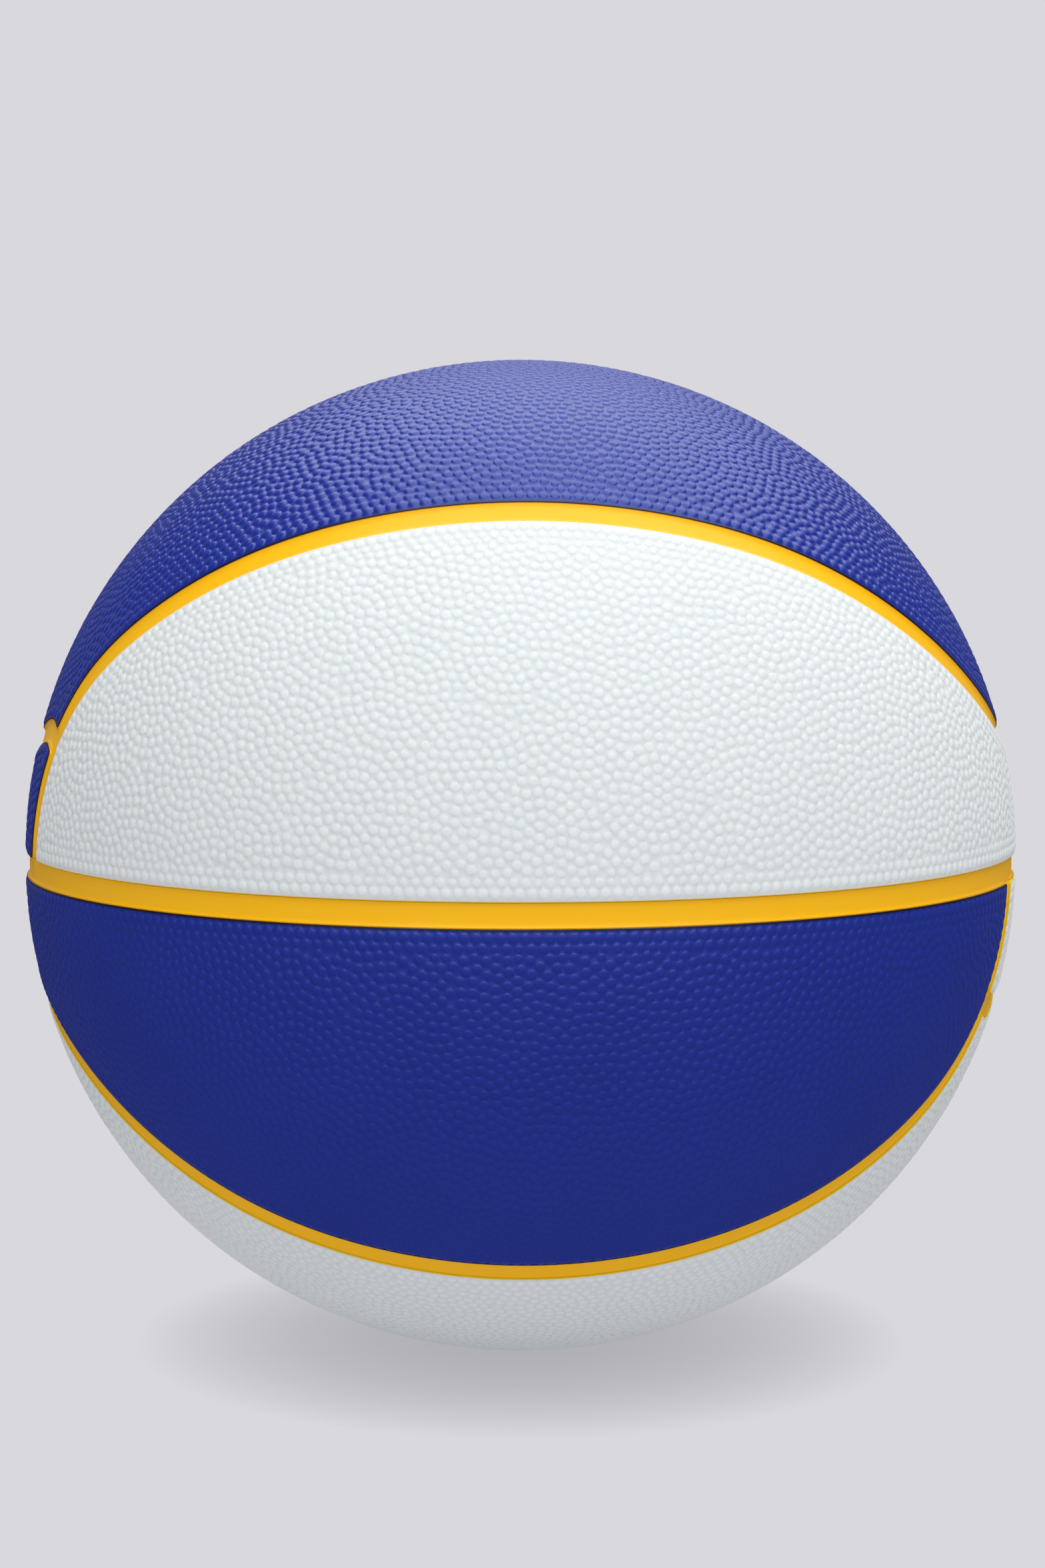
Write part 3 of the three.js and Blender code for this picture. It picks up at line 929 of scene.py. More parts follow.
@dataclass
class PebbledPanel:
    """A cover panel: a bonded shell with a rolled edge and pebbles over its whole face.

    The edge has a ring at its foot and one at each bend, in degrees. Each ring has one crown for an edge that
    the seam's lacquer goes up, and one for a bare edge. All but the last have an inset of their own on the
    bake map, so that the wall has room there.
    """

    layout: BallLayout
    kind: PanelKind
    pebbling: Pebbling = field(default_factory=Pebbling)
    pierced: bool = False
    flattened: bool = False
    outline_steps: int = 1600
    end_steps: int = 100
    divider_steps: int = 500
    hole_steps: int = 48
    strip_latitude: float = 20.0
    cap_latitude: float = 62.0
    edge_step: float = 0.9
    corner_rounding: float = 0.75
    fillet: float = 0.35
    bends: tuple[float, ...] = (0.0, 30.0, 60.0, 90.0)
    lacquered_crowns: tuple[float, ...] = (CROWN_WALL, CROWN_WALL, CROWN_ROLL, CROWN_ROLL, CROWN_RIM)
    bare_crowns: tuple[float, ...] = (CROWN_HOLE, CROWN_HOLE, CROWN_HOLE, CROWN_RIM, CROWN_FACE)
    bake_insets: tuple[float, ...] = (-1.7, -0.7, -0.4, -0.1)
    shoulder_drop: float = 0.06
    shoulder_width: float = 2.5
    back_pitch: float = 9.0

    def outline(self) -> np.ndarray:
        """Draws the panel's sharp outline, anticlockwise seen from outside.

        Returns:
            Ways along the closed line.
        """
        ball = self.layout
        edge = ball.edge
        if self.kind is PanelKind.STRIP:
            foot = edge / ball.radius
            west = float(ball.beside_end(math.pi / 2, edge))
            east = float(ball.beside_end(math.pi / 2, -edge)) + math.pi
            upper = np.linspace(east, west, self.outline_steps)
            right = np.linspace(foot, ball.beside_loop(east, -edge), self.end_steps)
            left = np.linspace(ball.beside_loop(west, -edge), foot, self.end_steps)
            lean = ball.beside_end(foot, edge) - west
            lines = [
                ball.direction(upper[::-1] + lean, foot),
                ball.direction(ball.beside_end(right, -edge) + math.pi, right),
                ball.direction(upper, ball.beside_loop(upper, -edge)),
                ball.direction(ball.beside_end(left, edge), left),
            ]
        else:
            corner, reach = ball.divider_corner(edge, edge)
            longitudes = np.linspace(-corner, corner, self.outline_steps)
            lines = [
                ball.direction(longitudes, ball.beside_loop(longitudes, edge)),
                ball.beside_divider(np.linspace(reach, -reach, self.divider_steps), -edge),
            ]
        return np.vstack([line[:-1] for line in lines])

    def edges(self) -> list[Edge]:
        """Finds the panel's edge, and the edge of the valve's hole in a pierced panel.

        Returns:
            The edges, the outer one first.
        """
        radius = self.layout.radius
        found = [Edge.rounded(self.outline(), radius, self.edge_step, self.corner_rounding)]
        if self.pierced:
            # Built at the front, so the hole is where the half turn takes it to the valve at the back.
            axis = self.layout.valve_axis * np.array(Quarter.UPPER_BACK.value)
            across, along = tangents(axis[None, :])
            turn = -np.linspace(0, FULL_TURN, self.hole_steps, endpoint=False)[:, None]
            share = self.layout.valve_hole / radius
            rim = math.sqrt(1 - share**2) * axis + share * (np.cos(turn) * across + np.sin(turn) * along)
            found.append(Edge(rim, radius))
        return found

    def centre(self) -> np.ndarray:
        """Gives the way to the middle of the panel."""
        if self.kind is PanelKind.CAP:
            return self.layout.direction(0.0, math.radians(self.cap_latitude))
        longitude = math.radians(self.layout.junction) + math.pi / 2
        return self.layout.direction(longitude, math.radians(self.strip_latitude))

    def level(self, depth: np.ndarray | float) -> np.ndarray:
        """Gives the radius of the face between the pebbles at a distance from the edge."""
        roll = np.clip(1 - np.asarray(depth) / self.shoulder_width, 0, 1)
        return self.layout.radius - self.pebbling.height - self.shoulder_drop * roll**2

    def flat(self, ways: np.ndarray) -> np.ndarray:
        """Maps ways to a plane so that small shapes keep their form.

        Args:
            ways: The ways.

        Returns:
            Two coordinates per row, in millimetres at the middle of the panel.
        """
        centre = self.centre()
        across, along = tangents(centre[None, :])
        scale = 2 * self.layout.radius / (1 + ways @ centre)
        return np.stack([ways @ across[0] * scale, ways @ along[0] * scale], axis=1)

    def joined(
        self, points: PanelPoints, outer: np.ndarray, rings: list[np.ndarray], rest: np.ndarray
    ) -> np.ndarray:
        """Joins points of the panel with triangles, inside its outline, and leaves each ring open.

        Args:
            points: The panel's points.
            outer: Numbers of the points round the panel.
            rings: Numbers of the points round each hole or pebble.
            rest: Numbers of the points between.

        Returns:
            Corner numbers, anticlockwise seen from outside.
        """
        numbers = np.concatenate([outer, *rings, rest]).astype(int)
        on_rings = [np.full(len(ring), i) for i, ring in enumerate(rings)]
        ring = np.concatenate([np.full(len(outer), -1), *on_rings, np.full(len(rest), -1)])
        spots = [Vector(spot) for spot in self.flat(points.ways[numbers])]
        sides = [(i, (i + 1) % len(outer)) for i in range(len(outer))]
        found = delaunay_2d_cdt(spots, sides, [], INSIDE_ONLY, SAME_SPOT, False)
        if len(found[0]) != len(numbers):
            raise ValueError("two points of a panel fall together")
        triangles = np.array(found[2])
        on = ring[triangles]
        within = (on[:, 0] >= 0) & (on[:, 0] == on[:, 1]) & (on[:, 1] == on[:, 2])
        # A triangle in a hollow of the outline meets the points round the panel in backward order.
        onward = (np.roll(triangles, -1, axis=1) > triangles).sum(axis=1) == 2
        outside = (triangles < len(outer)).all(axis=1) & ~onward
        return numbers[triangles[~within & ~outside]]

    def add_edge(self, points: PanelPoints, edge: Edge, lacquered: bool) -> list[np.ndarray]:
        """Adds the rings of points from the foot of a wall up over the rolled edge.

        Args:
            points: The panel's points.
            edge: The panel's edge or a hole's.
            lacquered: True where the seam's lacquer goes up the wall.

        Returns:
            Numbers of the points of each ring, the foot first and the rim of the face last.
        """
        rim = float(self.level(self.fillet))
        bends = np.radians(self.bends)
        insets = [0.0, *(self.fillet * (1 - np.cos(bends)))]
        levels = [self.layout.panel_inner, *(rim - self.fillet * (1 - np.sin(bends)))]
        spreads = [*self.bake_insets, self.fillet]
        crowns = self.lacquered_crowns if lacquered else self.bare_crowns
        rings = []
        for inset, level, spread, crown, bend in zip(insets, levels, spreads, crowns, [0.0, *bends]):
            ways = edge.inset(inset)
            normals = math.sin(bend) * ways - math.cos(bend) * edge.inward
            rings.append(points.add(ways, level, crown, normals, edge.inset(spread)))
        return rings

    def add_pebbles(self, points: PanelPoints, edges: list[Edge]) -> list[np.ndarray]:
        """Adds the rings and the tops of all the pebbles.

        Args:
            points: The panel's points.
            edges: Edges of the panel.

        Returns:
            Numbers of the points of each ring, as pebbles by places round them, the tops last.
        """
        pebbles = self.pebbling
        radius = self.layout.radius
        places = pebbles.places(edges)
        chance = np.random.default_rng(pebbles.seed)
        nearest = radius * np.arccos(np.clip(np.sort(places @ places.T, axis=1)[:, -2], -1, 1))
        widest = np.minimum(pebbles.base_radius, (nearest - pebbles.least_gap) / 2)
        size = widest * chance.uniform(pebbles.least_size, 1.0, len(places))
        uneven = chance.uniform(pebbles.least_rise, 1.0, len(places))
        rise = pebbles.height * size / pebbles.base_radius * uneven
        steps = np.arange(pebbles.sides) * 2 * math.pi / pebbles.sides
        turn = (chance.uniform(0, FULL_TURN, (len(places), 1)) + steps)[..., None]
        across, along = tangents(places)
        outward = np.cos(turn) * across[:, None] + np.sin(turn) * along[:, None]
        numbers = []
        for share, lift, tilt in pebbles.rings:
            angle = (share * size / radius)[:, None, None]
            ring = (np.cos(angle) * places[:, None] + np.sin(angle) * outward).reshape(-1, 3)
            lean = math.radians(tilt)
            normals = unit(math.cos(lean) * places[:, None] + math.sin(lean) * outward).reshape(-1, 3)
            level = self.level(least_depth(edges, ring)) + np.repeat(lift * rise, pebbles.sides)
            numbers.append(points.add(ring, level, lift, normals).reshape(-1, pebbles.sides))
        tops = points.add(places, self.level(least_depth(edges, places)) + rise, 1.0)
        return [*numbers, np.repeat(tops[:, None], pebbles.sides, axis=1)]

    def build(self) -> MeshData:
        """Builds the whole panel: wall, rolled edge, face, pebbles and back.

        Returns:
            The closed mesh, at the upper front.
        """
        ball = self.layout
        edges = self.edges()
        points = PanelPoints()
        walls = [self.add_edge(points, edge, edge is edges[0]) for edge in edges]
        pebbles = self.add_pebbles(points, edges)
        back = round_spread(self.back_pitch, ball.radius, self.centre(), SPREAD_REACH)
        back = back[least_depth(edges, back) > 0.5 * self.back_pitch]
        inner = points.add(back, ball.panel_inner, CROWN_WALL)

        outside = []
        for rings in walls:
            outside += [banded(low[None], high[None]) for low, high in zip(rings[:-1], rings[1:])]
        outside += [banded(low, high) for low, high in zip(pebbles[:-1], pebbles[1:])]
        rims, feet = [rings[-1] for rings in walls], [rings[0] for rings in walls]
        outside.append(self.joined(points, rims[0], [*rims[1:], *pebbles[0]], np.array([])))
        outside = np.vstack(outside)
        behind = self.joined(points, feet[0], feet[1:], inner)[:, ::-1]

        vertices = points.ways * points.radii[:, None]
        if self.flattened:
            vertices[:, 2] = np.minimum(vertices[:, 2], ball.radius - ball.foot_flat)
        face_map = self.chart(points.spread, 0.0)[outside.ravel()]
        back_map = self.chart(points.ways, 0.5)[behind.ravel()]
        triangles, places = np.vstack([outside, behind]), np.concatenate([face_map, back_map])
        return MeshData(vertices, triangles, places, points.crown, points.normals)

    def chart(self, ways: np.ndarray, foot: float) -> np.ndarray:
        """Lays the panel out in one half of the bake map.

        Args:
            ways: Ways to the panel's points.
            foot: Where the half starts.

        Returns:
            Two coordinates per row, between 0 and 1.
        """
        spots = self.flat(ways)
        spots = spots - spots.min(axis=0)
        width, height = spots.max(axis=0)
        return [BAKE_MARGIN, foot + BAKE_MARGIN] + spots * min(BAKE_WIDTH / width, BAKE_HEIGHT / height)


@dataclass
class Cover:
    """The eight cover panels, four strips and four halves of the caps."""

    layout: BallLayout

    def build(self) -> None:
        """Builds each shape of panel once and sets it in its quarters."""
        strip = PebbledPanel(self.layout, PanelKind.STRIP).build()
        valve_strip = PebbledPanel(self.layout, PanelKind.STRIP, pierced=True).build()
        cap = PebbledPanel(self.layout, PanelKind.CAP).build()
        foot_cap = PebbledPanel(self.layout, PanelKind.CAP, flattened=True).build()
        panels = [
            ("panel_upper_front", strip, Quarter.UPPER_FRONT, WHITE_COVER),
            ("panel_upper_back", valve_strip, Quarter.UPPER_BACK, BLUE_COVER),
            ("panel_lower_front", strip, Quarter.LOWER_FRONT, BLUE_COVER),
            ("panel_lower_back", strip, Quarter.LOWER_BACK, WHITE_COVER),
            ("panel_top_front", cap, Quarter.UPPER_FRONT, BLUE_COVER),
            ("panel_top_back", cap, Quarter.UPPER_BACK, WHITE_COVER),
            ("panel_bottom_front", foot_cap, Quarter.LOWER_FRONT, WHITE_COVER),
            ("panel_bottom_back", foot_cap, Quarter.LOWER_BACK, BLUE_COVER),
        ]
        for name, shape, quarter, finish in panels:
            piece = shape.turned(quarter.value).make(f"{name}_dressed")
            dress(piece, finish.material(), "ball")


# Seam strips


@dataclass
class SeamStrips:
    """The nine strips on the floor of the channels, each a shallow trough whose sides rise to the panels."""

    layout: BallLayout
    wall_gap: float = 0.04
    side_rise: float = 0.45
    rise_ramp: float = 1.5
    opening_margin: float = 0.4
    corner_flare: float = 0.9
    flare_share: float = 0.6
    middle_stations: int = 720
    loop_stations: int = 1440
    station_step: float = 1.0
    across: tuple[float, ...] = (-1.0, -0.93, -0.84, -0.72, -0.55, 0.0, 0.55, 0.72, 0.84, 0.93, 1.0)
    rises: tuple[float, ...] = (1.0, 0.62, 0.3, 0.1, 0.0, 0.0, 0.0, 0.1, 0.3, 0.62, 1.0)

    @property
    def half_width(self) -> float:
        """Distance from a strip's middle line to its side."""
        return self.layout.edge - self.wall_gap

    def swept(self, grid: np.ndarray, rise: np.ndarray, ring: bool) -> MeshData:
        """Closes a strip round a grid of ways.

        Args:
            grid: Ways, as stations along the strip by places across it.
            rise: Height above the channel's floor at each of them.
            ring: True where the last station meets the first.

        Returns:
            The closed mesh.
        """
        top = grid * (self.layout.channel_floor + rise)[..., None]
        foot = grid[:, [-1, 0]] * self.layout.panel_inner
        vertices = np.concatenate([top, foot], axis=1)
        stations, size = vertices.shape[:2]
        index = np.arange(stations * size).reshape(stations, size)
        here = index if ring else index[:-1]
        there = np.roll(index, -1, axis=0) if ring else index[1:]
        triangles = [banded(here, there)[:, ::-1]]
        if not ring:
            fan = np.array([(0, i, i + 1) for i in range(1, size - 1)])
            triangles += [index[0][fan], index[-1][fan][:, ::-1]]
        return MeshData(vertices.reshape(-1, 3), np.vstack(triangles))

    def rise(self, left: np.ndarray, right: np.ndarray) -> np.ndarray:
        """Gives heights, as stations by places across, from the share of the rise along each side."""
        height = self.side_rise * np.array(self.rises)
        return np.where(np.array(self.across) < 0, left[:, None] * height, right[:, None] * height)

    def closed_by(self, longitudes: np.ndarray, openings: tuple[float, ...]) -> np.ndarray:
        """Tells how far a side is from the nearest opening, as a share of the full rise.

        Args:
            longitudes: Stations along the strip.
            openings: Longitudes of the openings, in degrees.

        Returns:
            0 in an opening to 1 away from it.
        """
        share = np.ones_like(longitudes)
        for opening in openings:
            apart = np.abs((longitudes - math.radians(opening) + math.pi) % FULL_TURN - math.pi)
            distance = apart * self.layout.radius - self.layout.edge - self.opening_margin
            share = np.minimum(share, np.clip(distance / self.rise_ramp, 0, 1))
        return share

    def flared(self, distance: np.ndarray) -> np.ndarray:
        """Gives half widths by distance from an end, where a strip follows the panels' rounded corners."""
        left_over = np.clip(1 - distance / self.corner_flare, 0, 1)
        return self.half_width + self.corner_flare * (1 - np.sqrt(1 - left_over**2)) * self.flare_share

    def middle(self) -> MeshData:
        """Builds the strip round the middle of the ball.

        Returns:
            The closed mesh.
        """
        longitudes = np.linspace(0, FULL_TURN, self.middle_stations, endpoint=False)
        latitudes = np.array(self.across) * self.half_width / self.layout.radius
        grid = self.layout.direction(longitudes[:, None], latitudes[None, :])
        end = self.layout.junction + self.layout.end_lean
        lower = self.closed_by(longitudes, (180 - end, -end))
        upper = self.closed_by(longitudes, (end, end + 180))
        return self.swept(grid, self.rise(lower, upper), True)

    def loop(self) -> MeshData:
        """Builds the strip round the top cap.

        Returns:
            The closed mesh.
        """
        longitudes = np.linspace(0, FULL_TURN, self.loop_stations, endpoint=False)
        columns = [
            self.layout.direction(longitudes, self.layout.beside_loop(longitudes, place * self.half_width))
            for place in self.across
        ]
        end = self.layout.junction
        lower = self.closed_by(longitudes, (end, end + 180))
        upper = self.closed_by(longitudes, (90, -90))
        return self.swept(np.stack(columns, axis=1), self.rise(lower, upper), True)

    def divider(self) -> MeshData:
        """Builds the strip over the top, between the two halves of the cap.

        Returns:
            The closed mesh.
        """
        _, reach = self.layout.divider_corner(0.0, self.half_width)
        count = round(2 * reach * self.layout.radius / self.station_step)
        angles = np.linspace(-reach, reach, count)
        distance = (reach - np.abs(angles)) * self.layout.radius
        width = self.flared(distance)
        columns = [self.layout.beside_divider(angles, -place * width) for place in self.across]
        share = np.clip(distance / self.rise_ramp, 0, 1)
        return self.swept(np.stack(columns, axis=1)[::-1], self.rise(share, share)[::-1], False)

    def end(self) -> MeshData:
        """Builds the short strip between the ends of two long panels.

        Returns:
            The closed mesh.
        """
        ball = self.layout
        foot = self.half_width / ball.radius
        head = float(ball.beside_loop(math.radians(ball.junction), -self.half_width))
        count = round((head - foot) * ball.radius / self.station_step)
        shares = np.linspace(0, 1, count)
        distance = np.minimum(shares, 1 - shares) * (head - foot) * ball.radius
        width = self.flared(distance)
        columns = []
        for place in self.across:
            top = ball.beside_loop(ball.beside_end(math.pi / 2, -place * width), -self.half_width)
            latitude = foot + shares * (top - foot)
            columns.append(ball.direction(ball.beside_end(latitude, -place * width), latitude))
        share = np.clip(distance / self.rise_ramp, 0, 1)
        return self.swept(np.stack(columns, axis=1), self.rise(share, share), False)

    def build(self) -> None:
        """Builds each shape of strip once and sets it in its places."""
        middle, loop, divider, end = self.middle(), self.loop(), self.divider(), self.end()
        strips = [
            ("seam_middle", middle, Quarter.UPPER_FRONT),
            ("seam_upper_loop", loop, Quarter.UPPER_FRONT),
            ("seam_lower_loop", loop, Quarter.LOWER_BACK),
            ("seam_top_divider", divider, Quarter.UPPER_FRONT),
            ("seam_bottom_divider", divider, Quarter.LOWER_BACK),
            ("seam_upper_left_end", end, Quarter.UPPER_FRONT),
            ("seam_upper_right_end", end, Quarter.UPPER_BACK),
            ("seam_lower_left_end", end, Quarter.LOWER_BACK),
            ("seam_lower_right_end", end, Quarter.LOWER_FRONT),
        ]
        for name, shape, quarter in strips:
            piece = shape.turned(quarter.value).make(f"{name}_dressed")
            dress(piece, GOLD_SEAM.material(), "ball")


# Turned pieces: the valve and the layers inside

ROUNDING_SHARES = (0.0, 0.25, 0.5, 0.75, 1.0)


@dataclass
class TurnedPiece:
    """A round piece on the valve's axis."""

    layout: BallLayout
    outline: list[tuple[float, float]]
    sides: int

    def build(self) -> MeshData:
        """Turns the outline about the valve's axis.

        Returns:
            The closed mesh. An outline that starts and ends on the axis is closed by it.
        """
        points = np.array(self.outline)
        axis = self.layout.valve_axis
        across, along = tangents(axis[None, :])
        turn = np.linspace(0, FULL_TURN, self.sides, endpoint=False)[:, None]
        outward = np.cos(turn) * across + np.sin(turn) * along
        vertices = points[:, None, :1] * outward + points[:, None, 1:] * axis
        index = np.arange(len(points) * self.sides).reshape(len(points), self.sides)
        on_axis = points[:, 0] == 0
        index[on_axis] = index[on_axis, :1]
        open_ended = on_axis[0] and on_axis[-1]
        low, high = (index[:-1], index[1:]) if open_ended else (index, np.roll(index, -1, axis=0))
        used, renumbered = np.unique(banded(low, high), return_inverse=True)
        return MeshData(vertices.reshape(-1, 3)[used], renumbered.reshape(-1, 3))


def rounded_outline(corners: list[tuple[float, float, float]], closed: bool) -> list[tuple[float, float]]:
    """Rounds the corners of an outline.

    Args:
        corners: Radius, height and rounding of each corner.
        closed: True where the last corner leads back to the first.

    Returns:
        Radius and height of each point.
    """
    points = []
    count = len(corners)
    for i, (radius, height, rounding) in enumerate(corners):
        if rounding == 0 or (not closed and i in (0, count - 1)):
            points.append((radius, height))
            continue
        here = np.array([radius, height])
        before = unit(np.array(corners[i - 1][:2]) - here)
        after = unit(np.array(corners[(i + 1) % count][:2]) - here)
        for share in ROUNDING_SHARES:
            bend = (1 - share) ** 2 * before + share**2 * after
            points.append(tuple(here + rounding * bend))
    return points


@dataclass
class Valve:
    """The rubber boot that is cured into the bladder, and the plug that is pressed into it."""

    layout: BallLayout
    boot_top: float = 119.5
    boot_radius: float = 5.5
    boot_bottom: float = 94.5
    bore_radius: float = 2.5
    seat_radius: float = 3.5
    seat_height: float = 118.0
    flange_radius: float = 12.0
    flange_top: float = 111.6
    flange_bottom: float = 108.9
    plug_bottom: float = 97.5
    stem_radius: float = 2.2
    head_radius: float = 3.2
    head_foot: float = 118.3
    needle_radius: float = 0.6
    needle_end: float = 103.5
    sides: int = 96

    def build(self) -> None:
        """Builds the boot on the ball and the plug on its own body, from corners with a rounding each."""
        flange_rim = math.sqrt(self.flange_top**2 - self.flange_radius**2)
        boot = rounded_outline(
            [
                (self.bore_radius, self.boot_bottom, 0.3),
                (self.boot_radius, self.boot_bottom, 0.6),
                (self.boot_radius, self.flange_bottom, 0.5),
                (self.flange_radius, self.flange_bottom - 0.1, 0.4),
                (self.flange_radius, flange_rim, 0.4),
                (self.boot_radius, self.flange_top - 0.2, 0.3),
                (self.boot_radius, self.boot_top, 0.45),
                (self.seat_radius, self.boot_top, 0.2),
                (self.seat_radius, self.seat_height, 0.1),
                (self.bore_radius, self.seat_height, 0.15),
            ],
            True,
        )
        plug = rounded_outline(
            [
                (0.0, self.plug_bottom, 0.0),
                (self.stem_radius - 0.1, self.plug_bottom, 0.9),
                (self.stem_radius, self.head_foot, 0.15),
                (self.head_radius, self.head_foot, 0.2),
                (self.head_radius, self.boot_top - 0.05, 0.4),
                (self.needle_radius + 0.5, self.boot_top, 0.2),
                (self.needle_radius, self.boot_top - 0.5, 0.1),
                (self.needle_radius, self.needle_end, 0.1),
                (0.0, self.needle_end - 0.3, 0.0),
            ],
            False,
        )
        for name, outline, body in (("valve_boot", boot, "ball"), ("valve_plug", plug, "plug")):
            piece = TurnedPiece(self.layout, outline, self.sides).build().make(f"{name}_dressed")
            dress(piece, VALVE_RUBBER.material(), body)


@dataclass
class InnerLayers:
    """The carcass, the thread winding and the bladder, each a shell with the valve's hole through it."""

    layout: BallLayout
    carcass: tuple[float, float] = (116.4, 117.6)
    winding: tuple[float, float] = (115.1, 115.9)
    bladder: tuple[float, float] = (113.4, 114.6)
    rings: int = 120
    sides: int = 128
    pole_gap: float = 1e-6

    def shell(self, inner: float, outer: float) -> MeshData:
        """Builds one layer.

        Args:
            inner: Its inner radius.
            outer: Its outer radius.

        Returns:
            The closed mesh.
        """
        outline = []
        for radius, order in ((inner, 1), (outer, -1)):
            start = math.asin(self.layout.valve_hole / radius)
            angles = np.linspace(start, math.pi - self.pole_gap, self.rings)[::order]
            outline += [(radius * math.sin(a), radius * math.cos(a)) for a in angles]
        return TurnedPiece(self.layout, outline, self.sides).build()

    def build(self) -> None:
        """Builds the three layers."""
        layers = [
            ("carcass", self.carcass, CARCASS_RUBBER, "carcass_rubber"),
            ("thread_winding", self.winding, NYLON_WINDING, "winding_thread"),
            ("bladder", self.bladder, BUTYL, "butyl"),
        ]
        for name, (inner, outer), finish, slot in layers:
            piece = self.shell(inner, outer).make(f"{name}_dressed")
            dress(piece, finish.material(), "ball")


# Studio


@dataclass(frozen=True)
class SoftLight:
    """A soft light in the studio, as its brightness and the slopes that fade it out at its sides.

    Each slope is an axis, where the light starts on it and where it is full, for a direction of length one.
    """

    level: float
    slopes: tuple[tuple[str, float, float], ...]


OVERHEAD_BOX = SoftLight(2.5, (("Z", 0.49, 0.65), ("X", -0.46, -0.32), ("X", 0.66, 0.52)))
FRONT_CARD = SoftLight(0.68, (("Y", -0.2, -0.9), ("Z", -0.1, 0.1)))
BACK_CARD = SoftLight(0.15, (("Y", 0.2, 0.9), ("Z", -0.1, 0.1)))


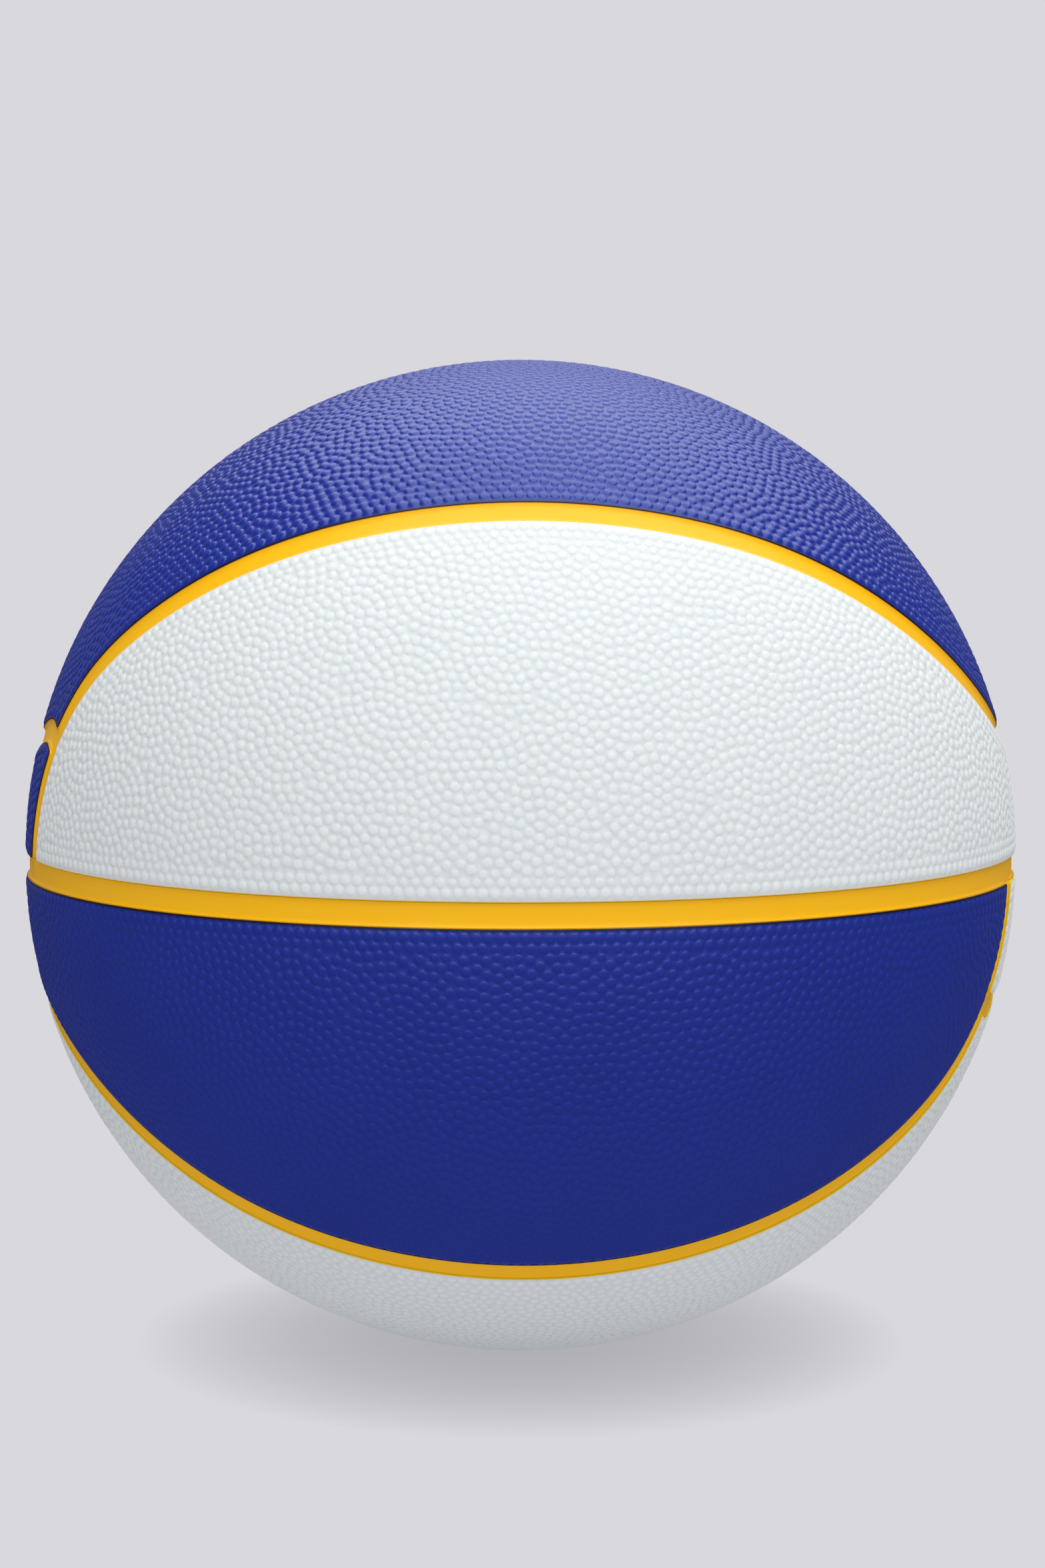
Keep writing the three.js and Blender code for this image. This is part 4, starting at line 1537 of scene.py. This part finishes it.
@dataclass
class Studio:
    """A pale lit table under an overhead soft box, a pale card in front, a dim one behind, and the camera."""

    layout: BallLayout
    backdrop: str = "#d9d8dd"
    table_size: float = 60.0
    shadow_reach: float = 33.0
    shadow_level: float = 0.62
    underlight: float = 0.73
    room_level: float = 0.08
    camera_distance: float = 840.0
    camera_longitude: float = -0.8
    camera_elevation: float = 6.19
    sensor_width: float = 36.0
    focal_length_px: float = 5151.0
    ball_centre_px: tuple[float, float] = (781.2, 1283.0)

    def build_table(self) -> None:
        """Builds the table, which is lit from below, with a painted shadow that darkens it close to the ball.
        """
        half = self.table_size / 2
        height = (self.layout.foot_flat - self.layout.radius) * MM
        mesh = bpy.data.meshes.new("table")
        corners = [(-half, -half, height), (half, -half, height), (half, half, height), (-half, half, height)]
        mesh.from_pydata(corners, [], [(0, 1, 2, 3)])
        table = bpy.data.objects.new("table", mesh)
        bpy.context.scene.collection.objects.link(table)
        table.visible_glossy = False
        material = bpy.data.materials.new("opal acrylic")
        material.use_nodes = True
        tree = material.node_tree
        shader = tree.nodes["Principled BSDF"]
        shader.inputs["Base Color"].default_value = (0.0, 0.0, 0.0, 1.0)
        shader.inputs["Specular IOR Level"].default_value = 0.0
        shader.inputs["Emission Color"].default_value = linear(self.backdrop)
        # The shadow round the ball is painted: an ambient occlusion node dims the table's glow close to the
        # ball.
        shadow = {"Distance": self.shadow_reach * MM}
        near = add_node(tree, "ShaderNodeAmbientOcclusion", shadow).outputs["AO"]
        # The lens sees the table as pale as the backdrop, and the ball gets its own level of light from it.
        glows = []
        for full in (self.underlight / linear(self.backdrop)[1], 1.0):
            levels = {"Value": near, "To Min": self.shadow_level * full, "To Max": full}
            glows.append(add_node(tree, "ShaderNodeMapRange", levels).outputs[0])
        seen = add_node(tree, "ShaderNodeLightPath").outputs["Is Camera Ray"]
        glow = add_node(tree, "ShaderNodeMapRange", {"Value": seen, "To Min": glows[0], "To Max": glows[1]})
        tree.links.new(glow.outputs[0], shader.inputs["Emission Strength"])
        table.data.materials.append(material)

    def build_light(self) -> None:
        """Builds the soft lights of a dim room, with the plain backdrop all round for the lens."""
        world = bpy.data.worlds.new("studio light")
        bpy.context.scene.world = world
        world.use_nodes = True
        tree = world.node_tree
        tree.nodes.clear()
        place = add_node(tree, "ShaderNodeTexCoord").outputs["Generated"]
        way = add_node(tree, "ShaderNodeSeparateXYZ", {0: place})
        total = self.room_level
        for light in (OVERHEAD_BOX, FRONT_CARD, BACK_CARD):
            level = light.level
            for axis, start, full in light.slopes:
                ends = {"Value": way.outputs[axis], "From Min": start, "From Max": full}
                slope = add_node(tree, "ShaderNodeMapRange", ends, {"interpolation_type": "SMOOTHSTEP"})
                faded = {0: level, 1: slope.outputs[0]}
                level = add_node(tree, "ShaderNodeMath", faded, {"operation": "MULTIPLY"}).outputs[0]
            total = add_node(tree, "ShaderNodeMath", {0: total, 1: level}, {"operation": "ADD"}).outputs[0]
        lights = add_node(tree, "ShaderNodeBackground", {"Color": (1.0, 1.0, 1.0, 1.0), "Strength": total})
        plain = add_node(tree, "ShaderNodeBackground", {"Color": linear(self.backdrop)})
        seen = add_node(tree, "ShaderNodeLightPath").outputs["Is Camera Ray"]
        both = {0: seen, 1: lights.outputs[0], 2: plain.outputs[0]}
        room = add_node(tree, "ShaderNodeMixShader", both)
        add_node(tree, "ShaderNodeOutputWorld", {"Surface": room.outputs[0]})

    def build_camera(self) -> None:
        """Sets the camera at the photograph's angle, with the shift that its framing needs."""
        longitude, latitude = math.radians(self.camera_longitude), math.radians(self.camera_elevation)
        away = Vector(self.layout.direction(longitude, latitude))
        data = bpy.data.cameras.new("camera")
        data.sensor_width = self.sensor_width
        data.lens = self.focal_length_px / PHOTO_HEIGHT * self.sensor_width
        data.shift_x = (PHOTO_WIDTH / 2 - self.ball_centre_px[0]) / PHOTO_HEIGHT
        data.shift_y = (self.ball_centre_px[1] - PHOTO_HEIGHT / 2) / PHOTO_HEIGHT
        camera = bpy.data.objects.new("camera", data)
        camera.location = away * self.camera_distance * MM
        camera.rotation_euler = (-away).to_track_quat("-Z", "Y").to_euler()
        bpy.context.scene.collection.objects.link(camera)
        bpy.context.scene.camera = camera

    def build(self) -> None:
        """Builds the table, the light and the camera."""
        self.build_table()
        self.build_light()
        self.build_camera()
        bpy.context.scene.view_settings.view_transform = "Standard"


def main() -> None:
    """Builds the ball in order."""
    logging.basicConfig(level=logging.INFO, format="%(message)s")
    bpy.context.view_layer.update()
    layout = BallLayout()
    Studio(layout).build()
    Cover(layout).build()
    SeamStrips(layout).build()
    Valve(layout).build()
    InnerLayers(layout).build()
    bpy.context.view_layer.update()


if __name__ == "__main__":
    main()
